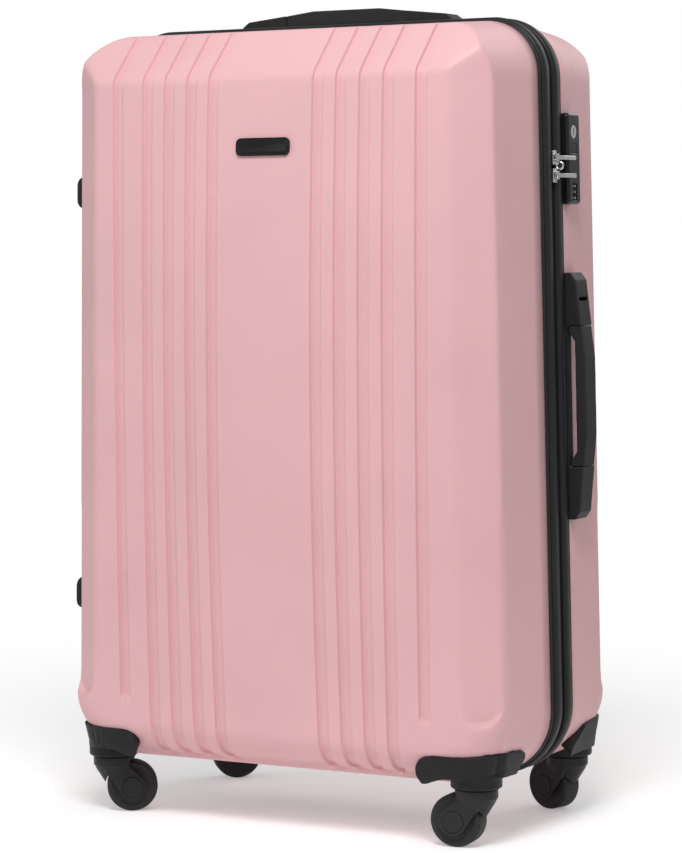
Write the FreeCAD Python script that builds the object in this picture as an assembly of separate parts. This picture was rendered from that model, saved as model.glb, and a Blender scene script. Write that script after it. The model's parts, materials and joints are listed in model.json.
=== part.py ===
import FreeCAD, Part
import math
import os
from FreeCAD import Vector

# A large hard shell suitcase on four swivelling wheels, standing upright.
# X is its width, Y its depth (front at -Y) and Z its height. All sizes are in mm.
# The two half shells meet at the plane y = 0, where the zip runs round them.

# ---- wheels -------------------------------------------------------------------------
wheel_diameter = 49.0
wheel_width = 21.6
wheel_trail = 17.5          # axle behind the swivel pin
caster_x = 197.5            # swivel pins, from the middle of the case
caster_y = 98.5
fork_width = 32.0
fork_crown_diameter = 40.0
fork_crown_height = 5.3     # crown above the top of the wheel
axle_diameter = 6.0
hub_cap_diameter = 20.0
hub_radius = 13.0           # fork leg round the axle
king_pin_diameter = 8.0
collar_diameter = 48.0

# ---- half shells ---------------------------------------------------------------------
shell_height = 698.5
width_bottom = 477.4        # the shells are a little narrower at the top
width_top = 451.0
outline_radius = 62.0       # corners seen from the front
shell_wall = 2.4
rim_y = 21.5                # half of the closure band between the shells
face_y = 131.5              # flat face at its edges, from the split plane
face_crown = 10.5           # the face swells outwards by this at mid height
side_draft = 0.07           # the sides lean in with depth, mm per mm
chamfer_start_y = 105.5     # side chamfer: where it leaves the side
chamfer_run = 33.5          # and how far it runs across the face
chamfer_end = 64.0          # it stops this far above the bottom of the shell
corner_fill = 8.0           # the corner below it stands proud of it by this
top_chamfer_drop = 48.0     # top chamfer: face ends this far below the top
top_chamfer_slope = 1.02
bottom_round = 40.0

# ---- grooves pressed into the faces --------------------------------------------------
groove_width = 12.0
groove_depth = 2.5
groove_x = [55.7, 79.9, 104.3, 128.5, 161.8]
short_groove_end = 52.0     # the outer groove stops this far above the bottom

# ---- closure band --------------------------------------------------------------------
welt_proud = 4.0            # rubber welts stand out of the shells
welt_inner = 1.6            # and reach this far inside the outline
zip_gap = 4.5               # half of the gap between the welts
tape_thickness = 1.6
tape_inset = 1.2            # tape face below the outline
coil_height = 1.8
coil_half = 2.6
hinge_offset = 10.0         # hinge line outside the left side, at mid height
hinge_margin = 70.0         # the fabric hinge stops this far from top and bottom

# ---- lining --------------------------------------------------------------------------
lining_gap = 3.2
lining_thickness = 1.2
strap_width = 25.0
strap_thickness = 1.5
strap_x = 58.0
pocket_width = 300.0
pocket_height = 230.0

# ---- lock ----------------------------------------------------------------------------
lock_below_top = 127.0      # middle of the lock under the top of the shell
lock_length = 85.0
lock_width = 26.5
lock_proud = 8.0
lock_chamfer = 2.5
dial_radius = 6.2
dial_width = 4.4
dial_pitch = 5.5
dial_count = 3
dial_first = -25.5          # places along the lock, from its middle
key_place = 25.0
key_diameter = 12.0
button_place = 9.5
button_length = 9.0
button_width = 12.0
button_travel = 2.0

# ---- zip sliders and pulls -----------------------------------------------------------
slider_length = 13.0
slider_width = 8.2
slider_height = 3.6
slider_upper_place = 0.5    # along the lock, from its middle
slider_lower_place = -16.0
pull_length = 34.0
pull_width = 3.8
pull_thickness = 1.5
pull_pin_diameter = 1.6
pull_pin_x = 6.6
ring_radius = 3.3
ring_wire = 1.1

# ---- carry handles -------------------------------------------------------------------
handle_length = 231.0
handle_width = 25.4
handle_proud = 20.5
handle_shoulder = 17.0
handle_end_proud = 12.5
handle_seam = 66.0          # grip joins its end housings here, from the middle
handle_plate = 2.4
handle_grip_thickness = 10.5
handle_tongue = 26.0
handle_tongue_height = 3.6
handle_travel = 6.0
side_handle_above_bottom = 350.0
carrier_start_y = 22.3      # lock and handles sit just behind the rear welt

# ---- feet, guards and plate ----------------------------------------------------------
foot_length = 30.0
foot_width = 18.0
foot_proud = 5.6
foot_y = 88.0
foot_low = 154.0            # above the bottom of the shell
foot_high = 545.0
guard_thickness = 2.4
guard_inner_x = 151.0
guard_inner_y = 69.0
guard_height = 29.0
plate_width = 57.0
plate_height = 16.5
plate_thickness = 2.2
plate_below_top = 114.5
screw_diameter = 3.4
screw_head_diameter = 7.0
screw_head_height = 1.4
screw_hole_gap = 0.2        # radial room of a screw in the shell

# ---- telescopic trolley --------------------------------------------------------------
trolley_x = 95.0
trolley_y = 104.0
tube_width = 22.0
tube_depth = 13.0
tube_wall = 1.2
tube_clearance = 0.4
tube_bottom = 17.5          # above the bottom of the shell
bezel_half_width = 118.0
bezel_depth = 33.0
bezel_height = 46.0
bezel_floor = 17.0
bezel_wall = 3.0
bezel_below_top = 4.0
grip_half_width = 110.0
grip_depth = 18.0
grip_height = 18.0
grip_leg = 9.0
trolley_button_length = 32.0
trolley_button_width = 11.0
trolley_button_travel = 3.5

# ---- clearances ----------------------------------------------------------------------
seat_gap = 0.3              # a piece that follows the shell lies this far off it
part_gap = 0.4              # between pieces that move past each other
pin_gap = 0.05              # radial running clearance of a pin in its bore
far = 400.0                 # reaches past the case in any direction

# ---- worked out ----------------------------------------------------------------------
fork_top = wheel_diameter + fork_crown_height
collar_bottom = fork_top + part_gap
shell_bottom = collar_bottom + 1.8
shell_top = shell_bottom + shell_height
shell_middle = shell_bottom + shell_height / 2
taper = (width_bottom - width_top) / 2 / shell_height
lean = math.degrees(math.atan(taper))
lock_z = shell_top - lock_below_top
side_handle_z = shell_bottom + side_handle_above_bottom
face_top = shell_top - top_chamfer_drop
face_depth = face_y + face_crown


def half_width(z):
    """Half of the case's width at the rim, at height z."""
    return width_bottom / 2 - taper * (z - shell_bottom)


hinge_x = -(half_width(shell_bottom + outline_radius) + hinge_offset)
# the case is set off so that the origin is under the middle of its bounding box
left_reach = half_width(shell_bottom + outline_radius) + welt_proud
right_reach = half_width(side_handle_z) + handle_proud
case_x = (left_reach - right_reach) / 2


# ---- helpers -------------------------------------------------------------------------
def rounded_loop(points, radii):
    """Closed wire through the points, with an arc of the given radius at each."""
    edges = []
    count = len(points)
    starts = []
    ends = []
    arcs = []
    for i in range(count):
        here = points[i]
        back = (points[i - 1] - here).normalize()
        on = (points[(i + 1) % count] - here).normalize()
        half = back.getAngle(on) / 2
        reach = radii[i] / math.tan(half)
        start = here + back * reach
        end = here + on * reach
        middle = (back + on).normalize()
        top = here + middle * (radii[i] / math.sin(half) - radii[i])
        starts.append(start)
        ends.append(end)
        arcs.append(Part.Arc(start, top, end).toShape())
    for i in range(count):
        edges.append(arcs[i])
        edges.append(Part.makeLine(ends[i], starts[(i + 1) % count]))
    return Part.Wire(edges)


def prism(points, direction):
    """Solid swept from a closed polygon along a direction."""
    loop = Part.makePolygon(points + [points[0]])
    return Part.Face(loop).extrude(direction)


def box(x0, x1, y0, y1, z0, z1):
    return Part.makeBox(x1 - x0, y1 - y0, z1 - z0, Vector(x0, y0, z0))


def rod(radius, start, axis, length):
    return Part.makeCylinder(radius, length, start, axis)


def mirror_x(shape):
    return shape.mirror(Vector(0, 0, 0), Vector(1, 0, 0))


def mirror_y(shape):
    return shape.mirror(Vector(0, 0, 0), Vector(0, 1, 0))


def edges_along(shape, axis, test=None):
    """Straight edges of a shape that run along an axis, and pass a test of their middle."""
    found = []
    for edge in shape.Edges:
        if edge.Curve.TypeId != "Part::GeomLine":
            continue
        a = edge.Vertexes[0].Point
        b = edge.Vertexes[-1].Point
        if abs((b - a).normalize().dot(axis)) > 0.999 and (test is None or test((a + b) * 0.5)):
            found.append(edge)
    return found


def rounded_box(x0, x1, y0, y1, z0, z1, axis, radius):
    """Box whose edges along one axis are rounded."""
    solid = box(x0, x1, y0, y1, z0, z1)
    return solid.makeFillet(radius, edges_along(solid, axis))


def to_right_side(shape, z):
    """Places a shape drawn on the plane x = 0 onto the right side, its middle at height z."""
    placed = shape.copy()
    placed.rotate(Vector(0, 0, 0), Vector(0, 1, 0), -lean)
    placed.translate(Vector(half_width(z), 0, z))
    return placed


def to_top(shape):
    """Places a shape drawn on the plane x = 0 onto the top of the case."""
    placed = shape.copy()
    placed.rotate(Vector(0, 0, 0), Vector(0, 1, 0), -90)
    placed.translate(Vector(0, 0, shell_top))
    return placed


def save(name, shape):
    """Writes a node, moved to the place of the case in its own frame."""
    solids = shape.Solids
    shape = solids[0] if len(solids) == 1 else Part.makeCompound(solids)
    moved = shape.copy()
    moved.translate(Vector(case_x, 0, 0))
    for solid in moved.Solids:
        if not solid.isValid():
            print("not valid:", name)
    moved.exportStep("parts/%s.step" % name)
    print(name, len(moved.Solids), round(moved.Volume / 1000, 1), "cm3")


# ---- form of a half shell (front half; the rear half is its mirror) ------------------
def outline(inset, y):
    """Rounded outline of the case at depth y, set in by inset."""
    d = inset + side_draft * (abs(y) - rim_y)
    low = shell_bottom + d
    high = shell_top - d
    corners = [
        Vector(-half_width(low) + d, y, low),
        Vector(half_width(low) - d, y, low),
        Vector(half_width(high) - d, y, high),
        Vector(-half_width(high) + d, y, high),
    ]
    return rounded_loop(corners, [outline_radius - d] * 4)


def band(inset, y0, y1):
    """Slab with the case's outline between two depths close to the split plane."""
    d = inset
    low = shell_bottom + d
    high = shell_top - d
    corners = [
        Vector(-half_width(low) + d, y0, low),
        Vector(half_width(low) - d, y0, low),
        Vector(half_width(high) - d, y0, high),
        Vector(-half_width(high) + d, y0, high),
    ]
    loop = rounded_loop(corners, [outline_radius - d] * 4)
    return Part.Face(loop).extrude(Vector(0, y1 - y0, 0))


def face_region(inset, x0, x1):
    """Everything behind the front face, top chamfer and bottom round, set in by inset."""
    slope_length = math.sqrt(1 + top_chamfer_slope ** 2)
    arc_y = -(face_y - bottom_round)
    arc_z = shell_bottom + side_draft * (-arc_y - rim_y) + bottom_round - 0.8
    arc_radius = bottom_round - inset
    front = -(face_y - inset)
    low = Vector(x0, arc_y, arc_z - arc_radius)
    bend = Vector(x0, arc_y - arc_radius * math.sin(math.pi / 4),
                  arc_z - arc_radius * math.cos(math.pi / 4))
    face_low = Vector(x0, front, arc_z)
    face_mid = Vector(x0, front - face_crown, (arc_z + face_top) / 2)
    face_high = Vector(x0, front, face_top + inset * (top_chamfer_slope - slope_length))
    top_z = shell_top + far / 4
    chamfer_high = Vector(x0, front + (top_z - face_high.z) / top_chamfer_slope, top_z)
    edges = [
        Part.makeLine(Vector(x0, far, -far), Vector(x0, arc_y, -far)),
        Part.makeLine(Vector(x0, arc_y, -far), low),
        Part.Arc(low, bend, face_low).toShape(),
        Part.Arc(face_low, face_mid, face_high).toShape(),
        Part.makeLine(face_high, chamfer_high),
        Part.makeLine(chamfer_high, Vector(x0, far, top_z)),
        Part.makeLine(Vector(x0, far, top_z), Vector(x0, far, -far)),
    ]
    return Part.Face(Part.Wire(edges)).extrude(Vector(x1 - x0, 0, 0))


def corner_wedge(inset, setback, z0, z1):
    """What the right side chamfer takes off between two heights."""
    edge_x = half_width(shell_middle) - side_draft * (chamfer_start_y - rim_y)
    start = Vector(edge_x, -chamfer_start_y, 0)
    end = Vector(edge_x - chamfer_run, -face_y, 0)
    along = (end - start).normalize()
    out = Vector(-along.y, along.x, 0)
    foot = (start + end) * 0.5 + out * (setback - inset)
    points = [foot - along * 90, foot + along * 90, foot + along * 90 + out * 90,
              foot - along * 90 + out * 90]
    wedge = prism([p + Vector(0, 0, z0) for p in points], Vector(0, 0, z1 - z0))
    wedge.rotate(Vector(0, 0, shell_middle), Vector(0, 1, 0), -lean)
    return wedge


def half_form(inset, start_y=rim_y):
    """Solid of the front half, set in by inset, open side at the depth start_y."""
    reach = face_depth + 8
    near = outline(inset, -start_y)
    deep = outline(inset, -reach)
    form = Part.makeLoft([near, deep], True, True)
    form = form.common(face_region(inset, -far, far))
    upper = corner_wedge(inset, 0, shell_bottom + chamfer_end - inset, shell_top + 90)
    lower = corner_wedge(inset, corner_fill, shell_bottom - 90, shell_top)
    wedges = [upper, lower, mirror_x(upper), mirror_x(lower)]
    return form.cut(wedges)


def groove_bars(inset, width):
    """Bars that follow the face at each groove, from inset to inset + depth."""
    bars = []
    for i, x in enumerate(groove_x):
        for side in (-1, 1):
            x0 = side * x - width / 2
            bar = face_region(inset, x0, x0 + width)
            bar = bar.cut(face_region(inset + groove_depth, x0 - 1, x0 + width + 1))
            if i == len(groove_x) - 1:
                stop = shell_bottom + short_groove_end - (width - groove_width) / 2
                bar = bar.cut(box(x0 - 1, x0 + width + 1, -far, far, -2 * far, stop))
            bars.append(bar)
    return bars


def make_half_shell():
    """Pressed sheet shell of even wall, with its grooves."""
    outer = half_form(0).cut(groove_bars(0, groove_width))
    inner = half_form(shell_wall, rim_y - 1)
    inner = inner.cut(groove_bars(shell_wall, groove_width + 2 * shell_wall))
    return outer.cut(inner)


def cavity(inset, start_y=rim_y - 1):
    """Inside of the front shell, set in by inset from the wall."""
    return half_form(shell_wall + inset, start_y)


def welt_ring():
    """Welt of the front half: a flat flange on the shell's rim and a proud rounded bead."""
    flange = band(-0.6, -rim_y, -rim_y + 4).cut(band(welt_inner, -rim_y - 1, 0))
    bead_start = -rim_y + 4
    bead = band(-welt_proud, bead_start, -zip_gap).cut(band(welt_inner, -rim_y - 1, 0))
    ring = flange.fuse(bead)
    return ring.removeSplitter()


def tape_ring():
    """Zip tape of the front half with its half of the coil, open at the hinge."""
    tape = band(tape_inset, -zip_gap, -0.2)
    tape = tape.cut(band(tape_inset + tape_thickness, -rim_y, 1))
    coil = band(tape_inset - coil_height, -coil_half, -0.2)
    coil = coil.cut(band(tape_inset, -rim_y, 1))
    ring = tape.fuse(coil).removeSplitter()
    return ring.cut(hinge_window(0))


def hinge_window(gap):
    """Space on the left side that the fabric hinge takes instead of the zip."""
    return box(-far, -half_width(shell_top) + outline_radius / 2, -rim_y, rim_y,
               shell_bottom + hinge_margin + gap, shell_top - hinge_margin - gap)


# ---- solids that other pieces are cut to ---------------------------------------------
front_outer = half_form(-seat_gap)
rear_outer = mirror_y(front_outer)
front_touch = half_form(0)
band_outer = band(-welt_proud - seat_gap, -rim_y, rim_y)


def on_rear(shape):
    """Cuts a piece to sit on the rear shell, clear of the welts."""
    return shape.cut([rear_outer, band_outer])


# ---- shells, band and lining ---------------------------------------------------------
def make_shells():
    front = make_half_shell()
    rear = mirror_y(front).cut([bezel_block(0), lock_window()])
    for shape, side in ((front, -1), (rear, 1)):
        holes = [rod(screw_diameter / 2 + screw_hole_gap, Vector(x, side * y, shell_bottom - 10),
                     Vector(0, 0, 1), 30) for x, y in guard_screw_places()]
        shape = shape.cut(holes)
        save("front_shell" if side < 0 else "rear_shell", shape)


def make_band():
    welt = welt_ring()
    save("front_welt", welt)
    save("rear_welt", mirror_y(welt))
    tape = tape_ring()
    save("front_zip_tape", tape)
    save("rear_zip_tape", mirror_y(tape))
    strip = band(tape_inset, -zip_gap, zip_gap)
    strip = strip.cut(band(tape_inset + tape_thickness, -rim_y, rim_y))
    save("fabric_hinge", strip.common(hinge_window(0.2)))


def trolley_channel(grow):
    """Space between rear shell and lining that the trolley runs in."""
    return box(-bezel_half_width - 6 - grow, bezel_half_width + 6 + grow,
               trolley_y - bezel_depth / 2 - 2 - grow, far, -far, 3 * far)


def make_linings():
    outer = cavity(lining_gap)
    inner = cavity(lining_gap + lining_thickness, rim_y - 2)
    flange = cavity(seat_gap).cut(cavity(lining_gap + lining_thickness, rim_y - 2))
    flange = flange.common(box(-far, far, -rim_y - 1.6, -rim_y - 0.1, 0, 3 * far))
    front = outer.cut(inner).common(box(-far, far, -far, -rim_y - 0.1, 0, 3 * far))
    front = front.fuse(flange).removeSplitter()
    save("front_lining", front)
    rear_out = mirror_y(outer).cut(trolley_channel(0))
    rear_in = mirror_y(inner).cut(trolley_channel(lining_thickness))
    rear = rear_out.cut(rear_in).common(box(-far, far, rim_y + 0.1, far, 0, 3 * far))
    rear = rear.fuse(mirror_y(flange)).removeSplitter()
    save("rear_lining", rear)


def make_packing():
    """Elastic straps laid flat in the rear half, with their buckle, and the front pocket."""
    back = trolley_y - bezel_depth / 2 - 2 - lining_thickness - 0.2
    low = shell_bottom + 60
    high = shell_top - 75
    straps = []
    for side in (-1, 1):
        x = side * strap_x
        straps.append(box(x - strap_width / 2, x + strap_width / 2,
                          back - strap_thickness, back, low, high))
    save("packing_straps", Part.makeCompound(straps))
    buckle_y = back - strap_thickness - 0.2
    buckle = rounded_box(-strap_x - 18, strap_x + 18, buckle_y - 5, buckle_y,
                         shell_middle - 14, shell_middle + 14, Vector(0, 1, 0), 6)
    save("strap_buckle", buckle)
    start = lining_gap + lining_thickness + 0.2
    pocket = cavity(start).cut(cavity(start + strap_thickness))
    low = shell_middle - pocket_height
    pocket = pocket.common(box(-pocket_width / 2, pocket_width / 2, -far, -face_y + 20,
                               low, low + pocket_height))
    save("front_pocket", pocket)


# ---- outside trim --------------------------------------------------------------------
def make_name_plate():
    z = shell_top - plate_below_top
    block = rounded_box(-plate_width / 2, plate_width / 2, -face_depth - 5, -face_y + 10,
                        z - plate_height / 2, z + plate_height / 2, Vector(0, 1, 0), 3)
    skin = half_form(-plate_thickness).cut(front_touch)
    save("name_plate", block.common(skin))


def side_foot_pair():
    """Two low rubber feet on the left side of the front half."""
    feet = []
    for above in (foot_low, foot_high):
        z = shell_bottom + above
        foot = rounded_box(-20, foot_proud, -foot_y - foot_width / 2, -foot_y + foot_width / 2,
                           -foot_length / 2, foot_length / 2, Vector(1, 0, 0), 8.5)
        rim = [e for e in foot.Edges if min(v.Point.x for v in e.Vertexes) > foot_proud - 0.1]
        foot = foot.makeFillet(2.5, rim)
        feet.append(mirror_x(to_right_side(foot, z)).cut(front_touch))
    return Part.makeCompound([f for foot in feet for f in foot.Solids])


def make_side_feet():
    feet = side_foot_pair()
    save("front_side_feet", feet)
    save("rear_side_feet", mirror_y(feet))


def guard_screw_places():
    """Screws on the right of either half; the left ones are their mirror."""
    places = [(caster_x - 31, caster_y - 17), (caster_x - 16, caster_y - 24)]
    return places + [(-x, y) for x, y in places]


def guard_right():
    """Front right corner guard: a skin on the corner, with the caster's collar under it."""
    skin = half_form(-guard_thickness - seat_gap).cut(front_outer)
    region = rounded_box(guard_inner_x, far, -far, -guard_inner_y, -far,
                         shell_bottom + guard_height, Vector(0, 1, 0), 9)
    skin = skin.common(region)
    at = Vector(caster_x, -caster_y, 0)
    top = shell_bottom + 24
    rings = rod(collar_diameter / 2, at + Vector(0, 0, collar_bottom + 3.3), Vector(0, 0, 1),
                top - collar_bottom - 3.3)
    rings = rings.fuse(rod(fork_crown_diameter / 2, at + Vector(0, 0, collar_bottom),
                           Vector(0, 0, 1), 5))
    rings = rings.cut(front_outer).common(box(0, half_width(shell_bottom) + guard_thickness,
                                              -far, 0, 0, top))
    guard = skin.fuse(rings).removeSplitter()
    bore = rod(king_pin_diameter / 2, at, Vector(0, 0, 1), far)
    holes = [rod(screw_diameter / 2, Vector(x, -y, -far), Vector(0, 0, 1), 3 * far)
             for x, y in guard_screw_places()[:2]]
    return guard.cut([bore] + holes)


def make_guards():
    guard = guard_right()
    save("front_guard_right", guard)
    save("front_guard_left", mirror_x(guard))
    save("rear_guard_right", mirror_y(guard))
    save("rear_guard_left", mirror_x(mirror_y(guard)))


def pin_top():
    """King pins end just under the shell."""
    return shell_bottom + side_draft * (caster_y - rim_y) + 0.6


def make_king_pins():
    pins = []
    for side in (-1, 1):
        start = Vector(side * caster_x, -caster_y, wheel_diameter - 3)
        pins.append(rod(king_pin_diameter / 2, start, Vector(0, 0, 1), pin_top() - start.z))
    pins = Part.makeCompound(pins)
    save("front_king_pins", pins)
    save("rear_king_pins", mirror_y(pins))


def make_guard_screws():
    """Screws from inside the case into the guards."""
    screws = []
    for x, y in guard_screw_places():
        floor = shell_bottom + side_draft * (y - rim_y) + shell_wall
        start = Vector(x, -y, floor - shell_wall - guard_thickness)
        head_z = floor + 2 * seat_gap + corner_rise(x)
        shank = rod(screw_diameter / 2, start, Vector(0, 0, 1), head_z - start.z)
        head = rod(screw_head_diameter / 2, Vector(x, -y, head_z), Vector(0, 0, 1),
                   screw_head_height)
        screws.append(shank.fuse(head).removeSplitter())
    group = Part.makeCompound(screws)
    save("front_guard_screws", group)
    save("rear_guard_screws", mirror_y(group))


def corner_rise(x):
    """How much the rounded corner has lifted the floor at x."""
    over = abs(x) + screw_head_diameter / 2 - (half_width(shell_bottom) - outline_radius)
    if over <= 0:
        return 0
    inner_radius = outline_radius - shell_wall
    return inner_radius - math.sqrt(inner_radius ** 2 - over ** 2)


# ---- casters -------------------------------------------------------------------------
def tangent_point(point, centre, radius, side):
    """Where the line from a point touches a circle, in the XZ plane."""
    to = point - centre
    angle = math.atan2(to.z, to.x) + side * math.acos(radius / to.Length)
    return centre + Vector(radius * math.cos(angle), 0, radius * math.sin(angle))


def make_fork():
    """Swivelling fork, drawn with its pin at the origin and the axle towards +X."""
    axle = Vector(wheel_trail, 0, wheel_diameter / 2)
    crown_low = wheel_diameter - 3.5
    reach = fork_crown_diameter / 2 - 8
    back = Vector(-reach, 0, crown_low)
    front = Vector(reach + 2, 0, crown_low)
    low = tangent_point(back, axle, hub_radius, 1)
    high = tangent_point(front, axle, hub_radius, -1)
    bottom = axle + Vector(hub_radius * 0.7071, 0, -hub_radius * 0.7071)
    y0 = -fork_width / 2
    lift = Vector(0, y0, 0)
    edges = [
        Part.makeLine(Vector(-reach, y0, fork_top), back + lift),
        Part.makeLine(back + lift, low + lift),
        Part.Arc(low + lift, bottom + lift, high + lift).toShape(),
        Part.makeLine(high + lift, front + lift),
        Part.makeLine(front + lift, Vector(front.x, y0, fork_top)),
        Part.makeLine(Vector(front.x, y0, fork_top), Vector(-reach, y0, fork_top)),
    ]
    legs = Part.Face(Part.Wire(edges)).extrude(Vector(0, fork_width, 0))
    crown = rod(fork_crown_diameter / 2, Vector(0, 0, crown_low), Vector(0, 0, 1),
                fork_top - crown_low)
    fork = legs.fuse(crown).removeSplitter()
    slot = wheel_width + 2 * 0.8
    space = rod(wheel_diameter / 2 + 1.5, axle - Vector(0, slot / 2, 0), Vector(0, 1, 0), slot)
    pin_bore = rod(king_pin_diameter / 2 + pin_gap, Vector(0, 0, wheel_diameter - 3 - part_gap),
                   Vector(0, 0, 1), 20)
    axle_bore = rod(axle_diameter / 2, axle - Vector(0, fork_width, 0), Vector(0, 1, 0),
                    2 * fork_width)
    fork = fork.cut([space, pin_bore, axle_bore])
    for side in (-1, 1):
        start = axle + Vector(0, side * (fork_width / 2 - 1), 0)
        fork = fork.cut(rod(hub_cap_diameter / 2, start, Vector(0, side, 0), 5))
    return fork


def make_axle():
    """Axle with a round cap on each end."""
    middle = Vector(wheel_trail, 0, wheel_diameter / 2)
    axle = rod(axle_diameter / 2, middle - Vector(0, fork_width / 2 - 0.5, 0), Vector(0, 1, 0),
               fork_width - 1)
    for side in (-1, 1):
        start = middle + Vector(0, side * (fork_width / 2 - 1), 0)
        axle = axle.fuse(rod(hub_cap_diameter / 2 - 0.1, start, Vector(0, side, 0), 1.4))
    return axle.removeSplitter()


def make_wheel():
    """Solid wheel with rounded tread edges and a dished hub."""
    middle = Vector(wheel_trail, 0, wheel_diameter / 2)
    wheel = rod(wheel_diameter / 2, middle - Vector(0, wheel_width / 2, 0), Vector(0, 1, 0),
                wheel_width)
    wheel = wheel.makeFillet(3.5, [e for e in wheel.Edges if e.Length > 2 * wheel_diameter])
    for side in (-1, 1):
        start = middle + Vector(0, side * (wheel_width / 2 - 2), 0)
        dish = rod(wheel_diameter / 2 - 6.5, start, Vector(0, side, 0), 4)
        boss = rod(hub_radius - 6, start, Vector(0, side, 0), 2)
        wheel = wheel.cut(dish.cut(boss))
    bore = rod(axle_diameter / 2 + pin_gap, middle - Vector(0, wheel_width, 0), Vector(0, 1, 0),
               2 * wheel_width)
    return wheel.cut(bore)


def make_casters():
    """Four casters, each turned to its own resting direction."""
    fork = make_fork()
    axle = make_axle()
    wheel = make_wheel()
    casters = [("front_right", 1, -1, 186), ("front_left", -1, -1, 34),
               ("rear_right", 1, 1, 163), ("rear_left", -1, 1, 40)]
    for name, side_x, side_y, angle in casters:
        for piece, shape in (("fork", fork), ("axle", axle), ("wheel", wheel)):
            placed = shape.copy()
            placed.rotate(Vector(0, 0, 0), Vector(0, 0, 1), angle)
            placed.translate(Vector(side_x * caster_x, side_y * caster_y, 0))
            save("%s_%s" % (name, piece), placed)


# ---- lock, on the right side ---------------------------------------------------------
def dial_places():
    return [dial_first - i * dial_pitch for i in range(dial_count)]


def lock_window():
    """Cut-out in the rear shell behind the dials."""
    middle = carrier_start_y + lock_width / 2
    room = dial_radius + 1.2
    low = dial_places()[-1] - dial_width / 2 - 1.5
    high = dial_places()[0] + dial_width / 2 + 1.5
    window = box(-far / 10, far / 10, middle - room, middle + room, low, high)
    return to_right_side(window, lock_z)


def make_lock():
    y0 = carrier_start_y
    y1 = y0 + lock_width
    middle = (y0 + y1) / 2
    half = lock_length / 2
    body = rounded_box(-6, lock_proud, y0, y1, -half, half, Vector(1, 0, 0), 4)
    rim = [e for e in body.Edges if min(v.Point.x for v in e.Vertexes) > lock_proud - 0.1]
    body = body.makeChamfer(lock_chamfer - 0.6, rim)
    body = on_rear_side(body, lock_z)
    dial_axis_x = lock_proud - 0.1 - dial_radius
    cuts = []
    low = dial_places()[-1] - dial_width / 2 - part_gap
    high = dial_places()[0] + dial_width / 2 + part_gap
    cuts.append(box(-far, dial_axis_x + dial_radius - 1.8, middle - dial_radius - 0.8,
                    middle + dial_radius + 0.8, low, high))
    for z in dial_places():
        cuts.append(box(0, 20, middle - 5, middle + 5,
                        z - dial_width / 2 - part_gap, z + dial_width / 2 + part_gap))
    cuts.append(rod(key_diameter / 2 + pin_gap, Vector(1, middle, key_place), Vector(1, 0, 0), 20))
    button_low = lock_proud - 3.4
    cuts.append(box(button_low - button_travel - 0.6, 20,
                    middle - button_width / 2 - 0.2, middle + button_width / 2 + 0.2,
                    button_place - button_length / 2 - 0.2, button_place + button_length / 2 + 0.2))
    spindle = rod(1.5, Vector(dial_axis_x, middle, low - 0.5), Vector(0, 0, 1), high - low + 1)
    body = body.cut([to_right_side(c, lock_z) for c in cuts + [spindle]])
    save("lock_body", body)
    save("lock_spindle", to_right_side(spindle, lock_z))
    for number, z in enumerate(dial_places()):
        start = Vector(dial_axis_x, middle, z - dial_width / 2)
        dial = rod(dial_radius, start, Vector(0, 0, 1), dial_width)
        dial = dial.makeFillet(0.6, [e for e in dial.Edges if e.Length > 20])
        dial = dial.cut(rod(1.5 + pin_gap, start, Vector(0, 0, 1), dial_width))
        save("lock_dial_%d" % (number + 1), to_right_side(dial, lock_z))
    key = rod(key_diameter / 2, Vector(1.4, middle, key_place), Vector(1, 0, 0), lock_proud - 1.6)
    slot = box(lock_proud - 3, 20, middle - 0.8, middle + 0.8, key_place - 3.6, key_place + 3.6)
    save("key_cylinder", to_right_side(key.cut(slot), lock_z))
    button = rounded_box(button_low, lock_proud - 0.2, middle - button_width / 2,
                         middle + button_width / 2, button_place - button_length / 2,
                         button_place + button_length / 2, Vector(1, 0, 0), 1.5)
    save("lock_button", to_right_side(button, lock_z))


def on_rear_side(shape, z):
    """Places a piece on the right side and cuts it to sit on the rear shell."""
    return on_rear(to_right_side(shape, z))


# ---- zip sliders and pulls -----------------------------------------------------------
def make_slider(place, with_ring):
    """Slider over the coil, with ears and a pin for its pull."""
    base = coil_height - tape_inset + seat_gap
    half = slider_length / 2
    body = box(base, base + slider_height, -slider_width / 2, slider_width / 2, -half, half)
    body = body.makeFillet(1.2, edges_along(body, Vector(1, 0, 0)))
    ear_gap = pull_width / 2 + 0.3
    for side in (-1, 1):
        z0 = ear_gap if side > 0 else -ear_gap - 1.4
        ear = box(base + slider_height - 0.5, pull_pin_x, -2.2, 2.2, z0, z0 + 1.4)
        ear = ear.fuse(rod(2.2, Vector(pull_pin_x, 0, z0), Vector(0, 0, 1), 1.4))
        body = body.fuse(ear)
    pin = rod(pull_pin_diameter / 2, Vector(pull_pin_x, 0, -ear_gap - 1), Vector(0, 0, 1),
              2 * ear_gap + 2)
    body = body.fuse(pin)
    if with_ring:
        ring = Part.makeTorus(ring_radius, ring_wire)
        ring.rotate(Vector(0, 0, 0), Vector(1, 0, 0), 90)
        ring.translate(Vector(pull_pin_x + ring_radius - ring_wire + 0.3, 0,
                              -ear_gap - 1.4 - ring_radius - ring_wire + 0.5))
        body = body.fuse(ring)
    return to_right_side(place_along(body.removeSplitter(), place), lock_z)


def place_along(shape, place):
    moved = shape.copy()
    moved.translate(Vector(0, 0, place))
    return moved


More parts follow.
